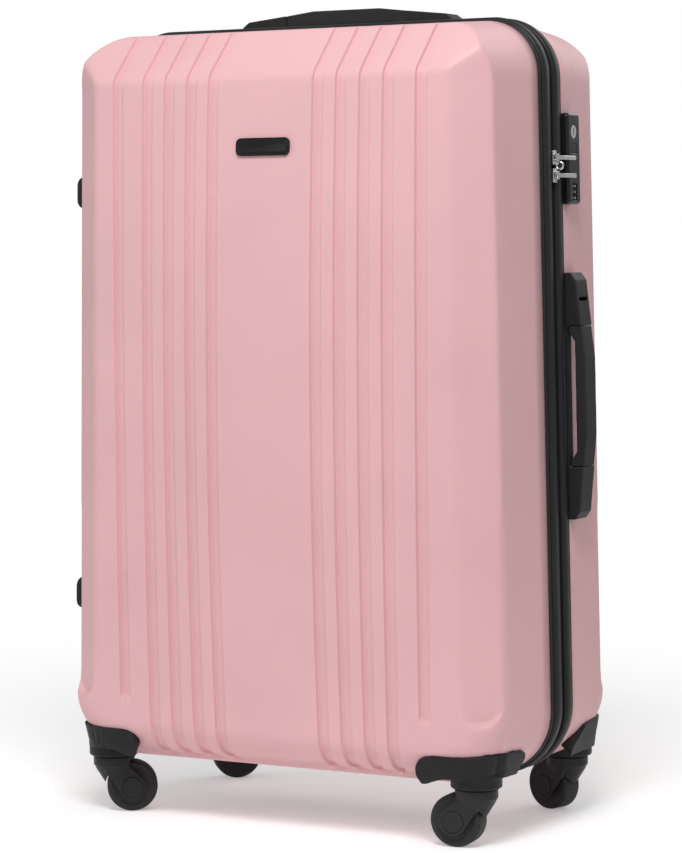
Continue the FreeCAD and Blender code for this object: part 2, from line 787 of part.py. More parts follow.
def make_pull(place):
    """Pull that lies across the lock, its eye on the slider's pin."""
    eye = rod(pull_pin_diameter / 2 + 1.1, Vector(pull_pin_x, 0, -pull_width / 2),
              Vector(0, 0, 1), pull_width)
    x0 = lock_proud + seat_gap
    x1 = x0 + pull_thickness
    rise = 9.0
    arm = prism([Vector(pull_pin_x - 0.8, 0, -pull_width / 2),
                 Vector(x0, rise, -pull_width / 2),
                 Vector(x0, pull_length, -pull_width / 2),
                 Vector(x1, pull_length, -pull_width / 2),
                 Vector(x1, rise - 0.5, -pull_width / 2),
                 Vector(pull_pin_x + 1.2, 0, -pull_width / 2)], Vector(0, 0, pull_width))
    tip = rod(pull_width / 2, Vector(x0, pull_length, 0), Vector(1, 0, 0), pull_thickness)
    pull = eye.fuse(arm).fuse(tip).removeSplitter()
    bore = rod(pull_pin_diameter / 2 + pin_gap, Vector(pull_pin_x, 0, -pull_width),
               Vector(0, 0, 1), 2 * pull_width)
    return to_right_side(place_along(pull.cut(bore), place), lock_z)


def make_sliders():
    save("zip_slider_upper", make_slider(slider_upper_place, True))
    save("zip_pull_upper", make_pull(slider_upper_place))
    save("zip_slider_lower", make_slider(slider_lower_place, False))
    save("zip_pull_lower", make_pull(slider_lower_place))


# ---- carry handles -------------------------------------------------------------------
def handle_base():
    """Base plate with a hollow end housing at each end, drawn on the plane x = 0."""
    y0 = carrier_start_y
    y1 = y0 + handle_width
    half = handle_length / 2
    plate = box(-6, handle_plate, y0, y1, -half, half)
    base = plate
    for side in (-1, 1):
        points = [Vector(-6, y0, side * handle_seam), Vector(handle_shoulder, y0, side * handle_seam),
                  Vector(handle_end_proud, y0, side * (half - 7)),
                  Vector(handle_end_proud - 5, y0, side * half), Vector(-6, y0, side * half)]
        housing = prism(points, Vector(0, handle_width, 0))
        inner_low = handle_plate + 1.2
        inner_high = inner_low + handle_tongue_height + handle_travel + 2 * part_gap
        z0 = min(side * (handle_seam - 1), side * (handle_seam + handle_tongue + 1))
        pocket = box(inner_low, inner_high, y0 + 3, y1 - 3, z0, z0 + handle_tongue + 2)
        base = base.fuse(housing.cut(pocket))
    return base.removeSplitter()


def handle_grip():
    """Grip with a tongue at each end that rides in the end housings."""
    y0 = carrier_start_y + 1.0
    y1 = carrier_start_y + handle_width - 1.0
    seam = handle_seam - part_gap
    inner = handle_proud - handle_grip_thickness
    tongue_low = handle_plate + 1.2 + part_gap
    outline_points = [
        Vector(handle_shoulder, y0, seam), Vector(handle_proud, y0, seam * 0.55),
        Vector(handle_proud, y0, -seam * 0.55), Vector(handle_shoulder, y0, -seam),
        Vector(tongue_low, y0, -seam), Vector(tongue_low, y0, -seam + 5),
        Vector(inner, y0, -seam + 14), Vector(inner, y0, seam - 14),
        Vector(tongue_low, y0, seam - 5), Vector(tongue_low, y0, seam),
    ]
    grip = prism(outline_points, Vector(0, y1 - y0, 0))
    tongue_end = handle_seam + handle_tongue
    tongue = box(tongue_low, tongue_low + handle_tongue_height, y0 + 2.6, y1 - 2.6,
                 -tongue_end, tongue_end)
    middle = box(tongue_low - 1, tongue_low + handle_tongue_height + 1, y0, y1,
                 -seam + 2, seam - 2)
    return grip.fuse(tongue.cut(middle)).removeSplitter()


def make_handles():
    base = handle_base()
    grip = handle_grip()
    save("side_handle_base", on_rear_side(base, side_handle_z))
    save("side_handle_grip", to_right_side(grip, side_handle_z))
    save("top_handle_base", on_rear(to_top(base)))
    save("top_handle_grip", to_top(grip))


# ---- telescopic trolley --------------------------------------------------------------
def bezel_top():
    return shell_top - bezel_below_top


def bezel_block(grow):
    """Outside of the moulded housing that the grip drops into."""
    half_y = bezel_depth / 2 + grow
    return rounded_box(-bezel_half_width - grow, bezel_half_width + grow,
                       trolley_y - half_y, trolley_y + half_y,
                       bezel_top() - bezel_height - grow, bezel_top(), Vector(0, 0, 1), 7)


def tube_size(stage):
    """Outside width and depth of a tube: 0 outer, 1 middle, 2 inner."""
    step = 2 * stage * (tube_wall + tube_clearance)
    return tube_width - step, tube_depth - step


def tube_pair(stage, z0, z1):
    width, depth = tube_size(stage)
    tubes = []
    for side in (-1, 1):
        x = side * trolley_x
        outer = rounded_box(x - width / 2, x + width / 2, trolley_y - depth / 2,
                            trolley_y + depth / 2, z0, z1, Vector(0, 0, 1), depth / 2 - 0.5)
        width_in = width - 2 * tube_wall
        depth_in = depth - 2 * tube_wall
        inner = rounded_box(x - width_in / 2, x + width_in / 2, trolley_y - depth_in / 2,
                            trolley_y + depth_in / 2, z0 - 1, z1 + 1, Vector(0, 0, 1),
                            depth_in / 2 - 0.4)
        tubes.append(outer.cut(inner))
    return Part.makeCompound(tubes)


def tube_plugs(z0, z1):
    """Solid bars that fill the outer tubes' outsides, for cutting pockets."""
    plugs = []
    for side in (-1, 1):
        x = side * trolley_x
        plugs.append(rounded_box(x - tube_width / 2, x + tube_width / 2,
                                 trolley_y - tube_depth / 2, trolley_y + tube_depth / 2,
                                 z0, z1, Vector(0, 0, 1), tube_depth / 2 - 0.5))
    return plugs


def make_trolley():
    floor = bezel_top() - bezel_height + bezel_floor + 5
    low = shell_bottom + tube_bottom
    block = bezel_block(0)
    half_y = bezel_depth / 2 - bezel_wall
    recess = rounded_box(-bezel_half_width + bezel_wall, bezel_half_width - bezel_wall,
                         trolley_y - half_y, trolley_y + half_y, floor, bezel_top() + 5,
                         Vector(0, 0, 1), 5)
    save("trolley_bezel", block.cut([recess] + tube_plugs(low, bezel_top())))
    save("trolley_outer_tubes", tube_pair(0, low, floor - 1))
    save("trolley_middle_tubes", tube_pair(1, low + 8, floor + 0.2))
    save("trolley_inner_tubes", tube_pair(2, low + 16, floor + 0.8))
    bracket = box(-bezel_half_width + 6, bezel_half_width - 6, trolley_y - 13, far,
                  shell_bottom, low + 12)
    bracket = bracket.common(mirror_y(cavity(groove_depth + seat_gap)))
    save("trolley_foot", bracket.cut(tube_plugs(low, low + 60)))

    bar_low = floor + 0.8 + grip_leg
    bar = rounded_box(-grip_half_width, grip_half_width, trolley_y - grip_depth / 2,
                      trolley_y + grip_depth / 2, bar_low, bar_low + grip_height,
                      Vector(1, 0, 0), 5)
    width, depth = tube_size(0)
    for side in (-1, 1):
        x = side * trolley_x
        leg = rounded_box(x - width / 2 + 2, x + width / 2 - 2, trolley_y - depth / 2,
                          trolley_y + depth / 2, floor + 0.8, bar_low + 2, Vector(0, 0, 1), 4)
        bar = bar.fuse(leg)
    button_top = bar_low + grip_height
    pocket = box(-trolley_button_length / 2 - 0.3, trolley_button_length / 2 + 0.3,
                 trolley_y - trolley_button_width / 2 - 0.3,
                 trolley_y + trolley_button_width / 2 + 0.3,
                 button_top - trolley_button_travel - 4.5, button_top + 5)
    save("trolley_grip", bar.removeSplitter().cut(pocket))
    button = rounded_box(-trolley_button_length / 2, trolley_button_length / 2,
                         trolley_y - trolley_button_width / 2,
                         trolley_y + trolley_button_width / 2,
                         button_top - 3.8, button_top + 0.8, Vector(0, 0, 1), 3)
    save("trolley_button", button)


os.makedirs("parts", exist_ok=True)
make_shells()
make_band()
make_linings()
make_packing()
make_name_plate()
make_side_feet()
make_guards()
make_king_pins()
make_guard_screws()
make_casters()
make_lock()
make_sliders()
make_handles()
make_trolley()
print("case_x %.3f hinge_x %.3f lean %.4f lock_z %.2f side_handle_z %.2f shell %.2f %.2f" % (
    case_x, hinge_x + case_x, lean, lock_z, side_handle_z, shell_bottom, shell_top))
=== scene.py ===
import json
import math

import bmesh
import bpy
import numpy as np
from mathutils import Matrix, Vector
from mathutils.bvhtree import BVHTree


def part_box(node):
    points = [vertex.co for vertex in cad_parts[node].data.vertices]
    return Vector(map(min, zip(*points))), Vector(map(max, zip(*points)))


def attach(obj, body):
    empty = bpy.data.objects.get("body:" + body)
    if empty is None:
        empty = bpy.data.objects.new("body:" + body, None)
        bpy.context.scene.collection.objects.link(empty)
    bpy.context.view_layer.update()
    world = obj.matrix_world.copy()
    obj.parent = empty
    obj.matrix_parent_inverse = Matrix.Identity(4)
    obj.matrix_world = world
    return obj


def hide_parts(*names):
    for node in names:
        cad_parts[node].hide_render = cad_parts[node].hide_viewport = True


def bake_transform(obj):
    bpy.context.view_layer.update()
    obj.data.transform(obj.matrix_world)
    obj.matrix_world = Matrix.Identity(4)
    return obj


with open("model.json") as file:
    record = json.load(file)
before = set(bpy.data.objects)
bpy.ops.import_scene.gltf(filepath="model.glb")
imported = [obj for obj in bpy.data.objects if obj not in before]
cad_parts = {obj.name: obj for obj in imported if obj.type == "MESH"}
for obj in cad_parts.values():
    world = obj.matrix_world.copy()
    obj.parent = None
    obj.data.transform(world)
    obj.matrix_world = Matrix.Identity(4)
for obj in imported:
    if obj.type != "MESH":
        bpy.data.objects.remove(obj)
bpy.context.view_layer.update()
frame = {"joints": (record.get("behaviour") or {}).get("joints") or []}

# ---- Studio --------------------------------------------------------------------------
# The case stands on a plain pale floor under three large soft lights: a strong one from
# the front and high above, a weaker one from the left and one from behind for the edges.
eye = Vector((1.4093, -2.5310, 0.5611))
eye_turn = math.radians(29.135)
eye_dip = math.radians(3.691)
eye_roll = math.radians(-0.457)
forward = Vector((-math.sin(eye_turn) * math.cos(eye_dip),
                  math.cos(eye_turn) * math.cos(eye_dip), -math.sin(eye_dip)))
level = Vector((math.cos(eye_turn), math.sin(eye_turn), 0.0))
above = level.cross(forward)
right = level * math.cos(eye_roll) + above * math.sin(eye_roll)
upward = above * math.cos(eye_roll) - level * math.sin(eye_roll)
lens = bpy.data.cameras.new("camera")
lens.sensor_fit = "VERTICAL"
lens.sensor_height = 36.0
lens.lens = 126.92
lens.clip_end = 60.0
camera = bpy.data.objects.new("camera", lens)
bpy.context.scene.collection.objects.link(camera)
turned = Matrix((right, upward, -forward)).transposed().to_4x4()
camera.matrix_world = Matrix.Translation(eye) @ turned
bpy.context.scene.camera = camera

bpy.ops.mesh.primitive_plane_add(size=40.0, location=(0.0, 0.0, 0.0))
floor = bpy.context.object
floor.name = "floor"
floor_paint = bpy.data.materials.new("floor_paint")
floor_paint.use_nodes = True
paint = floor_paint.node_tree.nodes["Principled BSDF"]
paint.inputs["Roughness"].default_value = 0.9
paint.inputs["Emission Color"].default_value = (1, 1, 1, 1)
floor_nodes = floor_paint.node_tree.nodes
floor_links = floor_paint.node_tree.links
spot = floor_nodes.new("ShaderNodeTexCoord")
away = floor_nodes.new("ShaderNodeVectorMath")
away.operation = "LENGTH"
floor_links.new(spot.outputs["Object"], away.inputs[0])
faded = {}
for effect, near, far in (("shade", 0.92, 0.0), ("glow", 0.3, 1.0)):
    fade = floor_nodes.new("ShaderNodeMapRange")
    fade.interpolation_type = "SMOOTHSTEP"
    fade.inputs["From Min"].default_value = 0.35
    fade.inputs["From Max"].default_value = 1.7
    fade.inputs["To Min"].default_value = near
    fade.inputs["To Max"].default_value = far
    floor_links.new(away.outputs["Value"], fade.inputs["Value"])
    faded[effect] = fade.outputs["Result"]
floor_links.new(faded["shade"], paint.inputs["Base Color"])
glow_seen = floor_nodes.new("ShaderNodeLightPath")
glow_share = floor_nodes.new("ShaderNodeMapRange")
glow_share.inputs["To Min"].default_value = 0.42     # the share of the glow that lights the case
glow_strength = floor_nodes.new("ShaderNodeMath")
glow_strength.operation = "MULTIPLY"
floor_links.new(glow_seen.outputs["Is Camera Ray"], glow_share.inputs["Value"])
floor_links.new(glow_share.outputs["Result"], glow_strength.inputs[0])
floor_links.new(faded["glow"], glow_strength.inputs[1])
floor_links.new(glow_strength.outputs[0], paint.inputs["Emission Strength"])
floor.data.materials.append(floor_paint)

world = bpy.data.worlds.new("sky")
world.use_nodes = True
air = world.node_tree.nodes["Background"]
air.inputs["Color"].default_value = (1.0, 1.0, 1.0, 1)
seen = world.node_tree.nodes.new("ShaderNodeLightPath")
strength = world.node_tree.nodes.new("ShaderNodeMapRange")
strength.inputs["To Min"].default_value = 0.34      # what lights the case
strength.inputs["To Max"].default_value = 1.0       # what the camera sees
world.node_tree.links.new(seen.outputs["Is Camera Ray"], strength.inputs["Value"])
world.node_tree.links.new(strength.outputs["Result"], air.inputs["Strength"])
bpy.context.scene.world = world
bpy.context.scene.view_settings.view_transform = "Standard"


def soft_light(name, place, aim, size, watts):
    """A large square lamp at a place, aimed at a point of the case."""
    lamp = bpy.data.lights.new(name, "AREA")
    lamp.shape = "SQUARE"
    lamp.size = size
    lamp.energy = watts
    holder = bpy.data.objects.new(name, lamp)
    bpy.context.scene.collection.objects.link(holder)
    holder.location = place
    holder.rotation_euler = (Vector(aim) - Vector(place)).to_track_quat("-Z", "Y").to_euler()


soft_light("key_light", (0.62, -1.28, 2.04), (0.0, 0.0, 0.42), 0.8, 32.0)
soft_light("fill_light", (-2.6, -1.5, 1.2), (0.0, 0.0, 0.35), 1.8, 17.0)
soft_light("back_light", (0.7, 2.4, 1.7), (0.0, 0.0, 0.5), 1.8, 12.0)


# ---- Half shells ---------------------------------------------------------------------
# Each half is one sheet of pink ABS, vacuum formed over a mould, with ten grooves pressed
# into its face. Its cut edge is clamped in the rubber welt of the closure band.
shell_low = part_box("front_shell")[0].z
shell_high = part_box("front_shell")[1].z
rim_depth = -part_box("front_shell")[1].y
case_middle = (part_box("front_shell")[0].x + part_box("front_shell")[1].x) / 2
half_width = 0.2322             # at mid height; the shells narrow towards the top
half_height = 0.400
side_taper = 0.0189
taper_from = 0.170              # the sides narrow; the grooved middle stays straight
taper_full = 0.192
corner_radius = 0.062
high_corner = 0.050             # the upper corners are fuller
wall_draft = 0.07               # the bottom wall has almost none
low_draft = 0.006
face_depth = 0.1315
face_crown = 0.0103             # the face swells by this in the middle
crown_middle = 0.4045
crown_reach_z = 0.303
crown_reach_x = 0.2
chamfer_out = 0.0059            # side chamfer: its outer edge, in from the side
chamfer_depth = 0.1055
chamfer_slope = 26.0 / 33.5
chamfer_foot = 0.1352           # middle of its round lower end
chamfer_half = 0.0212
top_break = 0.707               # the top chamfer starts here
top_slope = 1 / 1.02
low_radius = 0.034              # rounding along the bottom
side_radius = 0.029             # and up the corners under the side chamfer
groove_places = (0.0557, 0.0799, 0.1043, 0.1285, 0.1618)
groove_depth = 0.0034
groove_flat = 0.0051
groove_lip = 0.0062
short_groove_end = 0.1205       # middle of the round lower end of the outer grooves
shell_wall = 0.0024
ring_reach = 0.060


def smooth_min(a, b, soft):
    blend = np.clip(0.5 + 0.5 * (b - a) / soft, 0.0, 1.0)
    return b * (1 - blend) + a * blend - soft * blend * (1 - blend)


def smooth_step(low, high, value):
    t = np.clip((value - low) / (high - low), 0.0, 1.0)
    return t * t * (3 - 2 * t)


def edge_frame(x, z):
    """Distance in from the rounded outline, and the outward direction, at points of the face."""
    side = half_width - np.abs(x)
    end = np.minimum(z - shell_low, shell_high - z)
    sx = np.sign(x)
    sz = np.where(z - shell_low < shell_high - z, -1.0, 1.0)
    corner = (side < corner_radius) & (end < corner_radius)
    dx = corner_radius - side
    dz = corner_radius - end
    reach = np.maximum(np.hypot(dx, dz), 1e-9)
    inset = np.where(corner, corner_radius - reach, np.minimum(side, end))
    nx = np.where(corner, sx * dx / reach, np.where(side < end, sx, 0.0))
    nz = np.where(corner, sz * dz / reach, np.where(side < end, 0.0, sz))
    return inset, nx, nz


def fuller_corner(x, z):
    """Fills the upper corners of the outline out to a smaller radius."""
    dx = np.maximum(np.abs(x) - (half_width - corner_radius), 0.0)
    dz = np.maximum(z - (shell_high - corner_radius), 0.0)
    reach = np.maximum(np.hypot(dx, dz), 1e-9)
    cx, cz = dx / reach, dz / reach
    shift = corner_radius - high_corner
    arc = shift * (cx + cz) + np.sqrt(high_corner ** 2 - (shift * (cx - cz)) ** 2)
    straight = corner_radius / np.maximum(np.maximum(cx, cz), 1e-9)
    limit = np.where(arc * np.minimum(cx, cz) < shift, straight, arc)
    grow = (limit / corner_radius - 1) * (reach / corner_radius) ** 2
    return x + np.sign(x) * dx * grow, z + dz * grow


def groove_cut(x, z, grooved):
    """How deep the grooves are pressed at points of the face."""
    if not grooved:
        return np.zeros_like(x)
    cut = np.zeros_like(x)
    for i, place in enumerate(groove_places):
        off = np.abs(np.abs(x) - place)
        if i == len(groove_places) - 1:
            off = np.hypot(off, np.maximum(short_groove_end - z, 0.0))
        cut += groove_depth * (1 - smooth_step(groove_flat, groove_lip, off))
    return cut


def face_form(x, z, grooved):
    """Depth of the pressed face at points (x, z), before it meets the side walls."""
    inset, nx, nz = edge_frame(x, z)
    cut = groove_cut(x, z, grooved)
    swell = (np.clip(1 - ((z - crown_middle) / crown_reach_z) ** 2, 0.0, 1.0)
             * np.clip(1 - (x / crown_reach_x) ** 2, 0.0, 1.0))
    face = face_depth + face_crown * swell
    radius = side_radius + (low_radius - side_radius) * smooth_step(0.0, 1.0, np.abs(nz))
    over = np.clip(radius + 0.0068 - inset, 0.0, None)
    rounded = face - radius + np.sqrt(np.clip((radius - cut) ** 2 - over ** 2, 0.0, None))
    plane = chamfer_depth + (half_width - chamfer_out - np.abs(x)) * chamfer_slope
    chamfered = smooth_min(face - cut, plane, 0.0045)
    along = (np.abs(x) - (half_width - chamfer_out - 0.01675)) * 1.266
    stadium = np.hypot(along, np.maximum(chamfer_foot - z, 0.0)) - chamfer_half
    scooped = 1 - smooth_step(-0.0045, 0.0015, np.where(z < chamfer_foot, stadium, -1.0))
    front = rounded + (np.minimum(chamfered, np.where(z > 0.3, 9.0, rounded)) - rounded) * scooped
    top = face_depth - (z - top_break) * top_slope - cut * 1.4
    return smooth_min(front, top, 0.005)


def wall_profile(foot_x, foot_z, nx, nz, grooved, count):
    """Points (inset, depth) from the rim up the wall and over the edge onto the face."""
    steps = np.linspace(0.0, 1.0, 500) ** 2 * ring_reach
    face = face_form(foot_x - nx * steps, foot_z - nz * steps, grooved)
    draft = wall_draft + (low_draft - wall_draft) * float(smooth_step(0.2, 1.0, -nz))
    depth = np.minimum(rim_depth + steps / draft, face)
    run = np.concatenate(([0.0], np.cumsum(np.hypot(np.diff(steps), np.diff(depth)))))
    even = np.arange(0.0, run[-1], 0.0005)
    line = np.stack((np.interp(even, run, steps), np.interp(even, run, depth)))
    pad = 16
    kernel = np.exp(-0.5 * (np.arange(-pad, pad + 1) * 0.0005 / 0.0024) ** 2)
    kernel /= kernel.sum()
    soft = []
    for row in line:
        first = 2 * row[0] - row[pad:0:-1]
        last = 2 * row[-1] - row[-2:-pad - 2:-1]
        soft.append(np.convolve(np.concatenate((first, row, last)), kernel, "valid"))
    inset, depth = soft
    start = int(np.argmax(depth > 0.074))
    turn = np.unwrap(np.arctan2(np.gradient(depth), np.gradient(inset)))
    weight = 1 + np.abs(np.gradient(turn)) / 0.0005 * 0.016
    share = np.concatenate(([0.0], np.cumsum(weight[start:-1])))
    wanted = np.linspace(0.0, share[-1], count)
    at = np.interp(wanted, share, np.arange(start, len(depth)))
    index = np.arange(len(depth))
    return np.interp(at, index, inset), np.interp(at, index, depth)


def deselect_all():
    bpy.ops.object.select_all(action="DESELECT")


def edit(piece):
    deselect_all()
    piece.select_set(True)
    bpy.context.view_layer.objects.active = piece
    bpy.ops.object.mode_set(mode="EDIT")


def done():
    bpy.ops.object.mode_set(mode="OBJECT")


def pick_faces(piece, test):
    """Selects the faces whose middle and normal pass a test, in edit mode."""
    bpy.ops.mesh.select_mode(type="FACE")
    bpy.ops.mesh.select_all(action="DESELECT")
    work = bmesh.from_edit_mesh(piece.data)
    work.normal_update()
    for face in work.faces:
        if test(face.calc_center_median(), face.normal):
            face.select_set(True)
    bmesh.update_edit_mesh(piece.data)


def pick_edges(piece, test):
    """Selects the edges whose two ends pass a test, in edit mode."""
    bpy.ops.mesh.select_mode(type="EDGE")
    bpy.ops.mesh.select_all(action="DESELECT")
    work = bmesh.from_edit_mesh(piece.data)
    for edge in work.edges:
        if test(edge.verts[0].co, edge.verts[1].co):
            edge.select_set(True)
    bmesh.update_edit_mesh(piece.data)


def slice_at(co, no):
    bpy.ops.mesh.select_all(action="SELECT")
    bpy.ops.mesh.bisect(plane_co=co, plane_no=no)


def pressed_half(name, lines_x, lines_z, rings, turns, grooved):
    """A front half: a block with a ringed and ruled face, pressed to the form of the case."""
    middle = (0.0, -(rim_depth + face_depth) / 2, (shell_low + shell_high) / 2)
    bpy.ops.mesh.primitive_cube_add(size=1.0, location=middle)
    piece = bpy.context.object
    piece.name = name
    piece.scale = (2 * half_width, face_depth - rim_depth, shell_high - shell_low)
    bpy.ops.object.transform_apply(location=True, rotation=True, scale=True)
    edit(piece)
    pick_faces(piece, lambda c, n: n.y > 0.9)
    bpy.ops.mesh.delete(type="FACE")
    pick_edges(piece, lambda a, b: abs(a.y - b.y) > 0.01)
    bpy.ops.mesh.bevel(offset=corner_radius, segments=turns, affect="EDGES", clamp_overlap=False)
    pick_faces(piece, lambda c, n: n.y < -0.9)
    for _ in range(rings):
        bpy.ops.mesh.inset(thickness=ring_reach / rings)
    for x in lines_x:
        slice_at((x, 0.0, 0.0), (1.0, 0.0, 0.0))
    for z in lines_z:
        slice_at((0.0, 0.0, z), (0.0, 0.0, 1.0))
    for share in (0.33, 0.66):
        slice_at((0.0, -rim_depth - (face_depth - rim_depth) * share, 0.0), (0.0, 1.0, 0.0))
    done()
    count = len(piece.data.vertices)
    flat = np.empty(count * 3)
    piece.data.vertices.foreach_get("co", flat)
    x, y, z = flat.reshape(count, 3).T.astype(float)
    inset, nx, nz = edge_frame(x, z)
    on_wall = y > -face_depth + 1e-5
    inside = inset > ring_reach * (1 - 0.3 / rings)
    inset = np.where(on_wall, 0.0, inset)
    ring = np.clip(np.rint(inset / ring_reach * rings), 0, rings).astype(int)
    depth = -y
    plain = inside & ~on_wall
    depth[plain] = face_form(x[plain], z[plain], grooved)
    known = {}
    for i in np.nonzero(~plain)[0]:
        foot_x = x[i] + nx[i] * inset[i]
        foot_z = z[i] + nz[i] * inset[i]
        key = (round(foot_x, 5), round(foot_z, 5))
        if key not in known:
            known[key] = wall_profile(foot_x, foot_z, nx[i], nz[i], grooved, rings + 1)
        insets, depths = known[key]
        new_depth = depths[ring[i]]
        new_inset = insets[ring[i]]
        if on_wall[i]:
            share = (depth[i] - rim_depth) / (face_depth - rim_depth)
            new_depth = rim_depth + share * (depths[0] - rim_depth)
            new_inset = share * insets[0]
        x[i] = foot_x - nx[i] * new_inset
        z[i] = foot_z - nz[i] * new_inset
        depth[i] = new_depth
    x, z = fuller_corner(x, z)
    x += (np.sign(x) * side_taper * (half_height - z)
          * smooth_step(taper_from, taper_full, np.abs(x)))
    x += case_middle
    piece.data.vertices.foreach_set("co", np.stack((x, -depth, z), 1).ravel())
    piece.data.update()
    bpy.ops.object.shade_smooth()
    return piece


def solid_wall(piece, thickness):
    """Gives an open skin its wall, on the inside."""
    deselect_all()
    bpy.context.view_layer.objects.active = piece
    wall = piece.modifiers.new("wall", "SOLIDIFY")
    wall.thickness = thickness
    wall.offset = -1.0
    bpy.ops.object.modifier_apply(modifier="wall")


def shader_group(name, inputs, outputs):
    """An empty node group with named sockets: (name, kind, value) in, (name, kind) out."""
    group = bpy.data.node_groups.new(name, "ShaderNodeTree")
    for label, kind, value in inputs:
        socket = group.interface.new_socket(label, in_out="INPUT", socket_type=kind)
        if value is not None:
            socket.default_value = value
    for label, kind in outputs:
        group.interface.new_socket(label, in_out="OUTPUT", socket_type=kind)
    start = group.nodes.new("NodeGroupInput")
    end = group.nodes.new("NodeGroupOutput")
    return group, start, end


def add_noise(group, vector, scale_from, factor, detail):
    """A noise texture whose scale is a group input times a factor."""
    noise = group.nodes.new("ShaderNodeTexNoise")
    noise.inputs["Detail"].default_value = detail
    size = group.nodes.new("ShaderNodeMath")
    size.operation = "MULTIPLY"
    size.inputs[1].default_value = factor
    group.links.new(scale_from, size.inputs[0])
    group.links.new(vector, noise.inputs["Vector"])
    group.links.new(size.outputs[0], noise.inputs["Scale"])
    return noise.outputs["Fac"]


def map_range(group, value, low, high):
    ranged = group.nodes.new("ShaderNodeMapRange")
    ranged.inputs["From Min"].default_value = 0.3
    ranged.inputs["From Max"].default_value = 0.7
    ranged.inputs["To Min"].default_value = low
    ranged.inputs["To Max"].default_value = high
    group.links.new(value, ranged.inputs["Value"])
    return ranged.outputs["Result"]


# Moulded skin: a fine even grain, and slow changes of tone and of gloss from handling.
skin_group, skin_in, skin_out = shader_group(
    "moulded_skin",
    [("Vector", "NodeSocketVector", None), ("Grain", "NodeSocketFloat", 900.0)],
    [("Height", "NodeSocketFloat"), ("Tone", "NodeSocketFloat"), ("Handling", "NodeSocketFloat")])
pebble = add_noise(skin_group, skin_in.outputs["Vector"], skin_in.outputs["Grain"], 1.0, 3.0)
coarse = add_noise(skin_group, skin_in.outputs["Vector"], skin_in.outputs["Grain"], 0.35, 1.0)
both = skin_group.nodes.new("ShaderNodeMath")
both.operation = "ADD"
skin_group.links.new(pebble, both.inputs[0])
skin_group.links.new(coarse, both.inputs[1])
skin_group.links.new(both.outputs[0], skin_out.inputs["Height"])
slow = add_noise(skin_group, skin_in.outputs["Vector"], skin_in.outputs["Grain"], 0.006, 2.0)
skin_group.links.new(map_range(skin_group, slow, 0.0, 1.0), skin_out.inputs["Tone"])
smudge = add_noise(skin_group, skin_in.outputs["Vector"], skin_in.outputs["Grain"], 0.03, 5.0)
skin_group.links.new(map_range(skin_group, smudge, 0.0, 1.0), skin_out.inputs["Handling"])


def blank_material(name, colour):
    material = bpy.data.materials.new(name)
    material.use_nodes = True
    material.diffuse_color = (*colour, 1)
    nodes = material.node_tree.nodes
    return material, nodes, material.node_tree.links, nodes["Principled BSDF"]


def mixed_colour(nodes, links, factor, dark, light, target):
    mix = nodes.new("ShaderNodeMix")
    mix.data_type = "RGBA"
    mix.inputs["A"].default_value = (*dark, 1)
    mix.inputs["B"].default_value = (*light, 1)
    links.new(factor, mix.inputs["Factor"])
    links.new(mix.outputs["Result"], target)


def ranged(nodes, links, value, low, high, target):
    spread = nodes.new("ShaderNodeMapRange")
    spread.inputs["To Min"].default_value = low
    spread.inputs["To Max"].default_value = high
    links.new(value, spread.inputs["Value"])
    links.new(spread.outputs["Result"], target)


def moulded(name, colour, spread, gloss, grain, relief, metallic=0.0, shine=0.22):
    """A moulded or pressed finish: grain in the bump, tone in the colour, handling in the gloss."""
    material, nodes, links, surface = blank_material(name, colour)
    place = nodes.new("ShaderNodeTexCoord")
    skin = nodes.new("ShaderNodeGroup")
    skin.node_tree = skin_group
    skin.inputs["Grain"].default_value = grain
    links.new(place.outputs["Object"], skin.inputs["Vector"])
    dark = [c * (1 - spread) for c in colour]
    light = [min(1.0, c * (1 + spread)) for c in colour]
    mixed_colour(nodes, links, skin.outputs["Tone"], dark, light, surface.inputs["Base Color"])
    ranged(nodes, links, skin.outputs["Handling"], gloss - 0.05, gloss + 0.05,
           surface.inputs["Roughness"])
    surface.inputs["Metallic"].default_value = metallic
    surface.inputs["Specular IOR Level"].default_value = 0.5 if metallic else shine
    bump = nodes.new("ShaderNodeBump")
    bump.inputs["Strength"].default_value = 1.0
    bump.inputs["Distance"].default_value = relief
    links.new(skin.outputs["Height"], bump.inputs["Height"])
    links.new(bump.outputs["Normal"], surface.inputs["Normal"])
    return material


def dress(piece, material):
    piece.data.materials.clear()
    piece.data.materials.append(material)


def fit(piece, material, body, node=None):
    """Finishes a piece: its material, the body that it moves with and the node that it is."""
    dress(piece, material)
    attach(piece, body)
    if node:
        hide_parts(node)


def own_copy(piece, name):
    """A copy with its own mesh."""
    twin = piece.copy()
    twin.data = piece.data.copy()
    twin.name = name
    bpy.context.scene.collection.objects.link(twin)
    return twin


def mirrored(piece, name):
    """The rear half's copy of a front piece."""
    twin = own_copy(piece, name)
    twin.data.transform(Matrix.Scale(-1, 4, Vector((0, 1, 0))))
    twin.data.flip_normals()
    return twin


pink_abs = moulded("pink_abs", (0.76, 0.45, 0.468), 0.025, 0.42, 1500.0, 0.00006, shine=0.3)

lines_z = [0.1195, 0.1215, 0.1235, 0.126, 0.129, 0.132, 0.135, 0.1385, 0.143]
lines_z += [0.155 + 0.0125 * i for i in range(43)]
lines_x = [side * x for side in (-1, 1) for x in (0.012, 0.024, 0.036, 0.1165, 0.145, 0.169)]
for place in groove_places:
    for off in (0.0, 0.0042, 0.0049, 0.0052, 0.00545, 0.0057, 0.00595, 0.0062, 0.0066, 0.0074):
        for side in (-1, 1):
            lines_x += [side * (place - off), side * (place + off)]
lines_x = sorted(set(lines_x + [0.0]))
front_skin = pressed_half("front_shell_skin", lines_x, lines_z, 40, 22, True)
rear_skin = mirrored(front_skin, "rear_shell_skin")

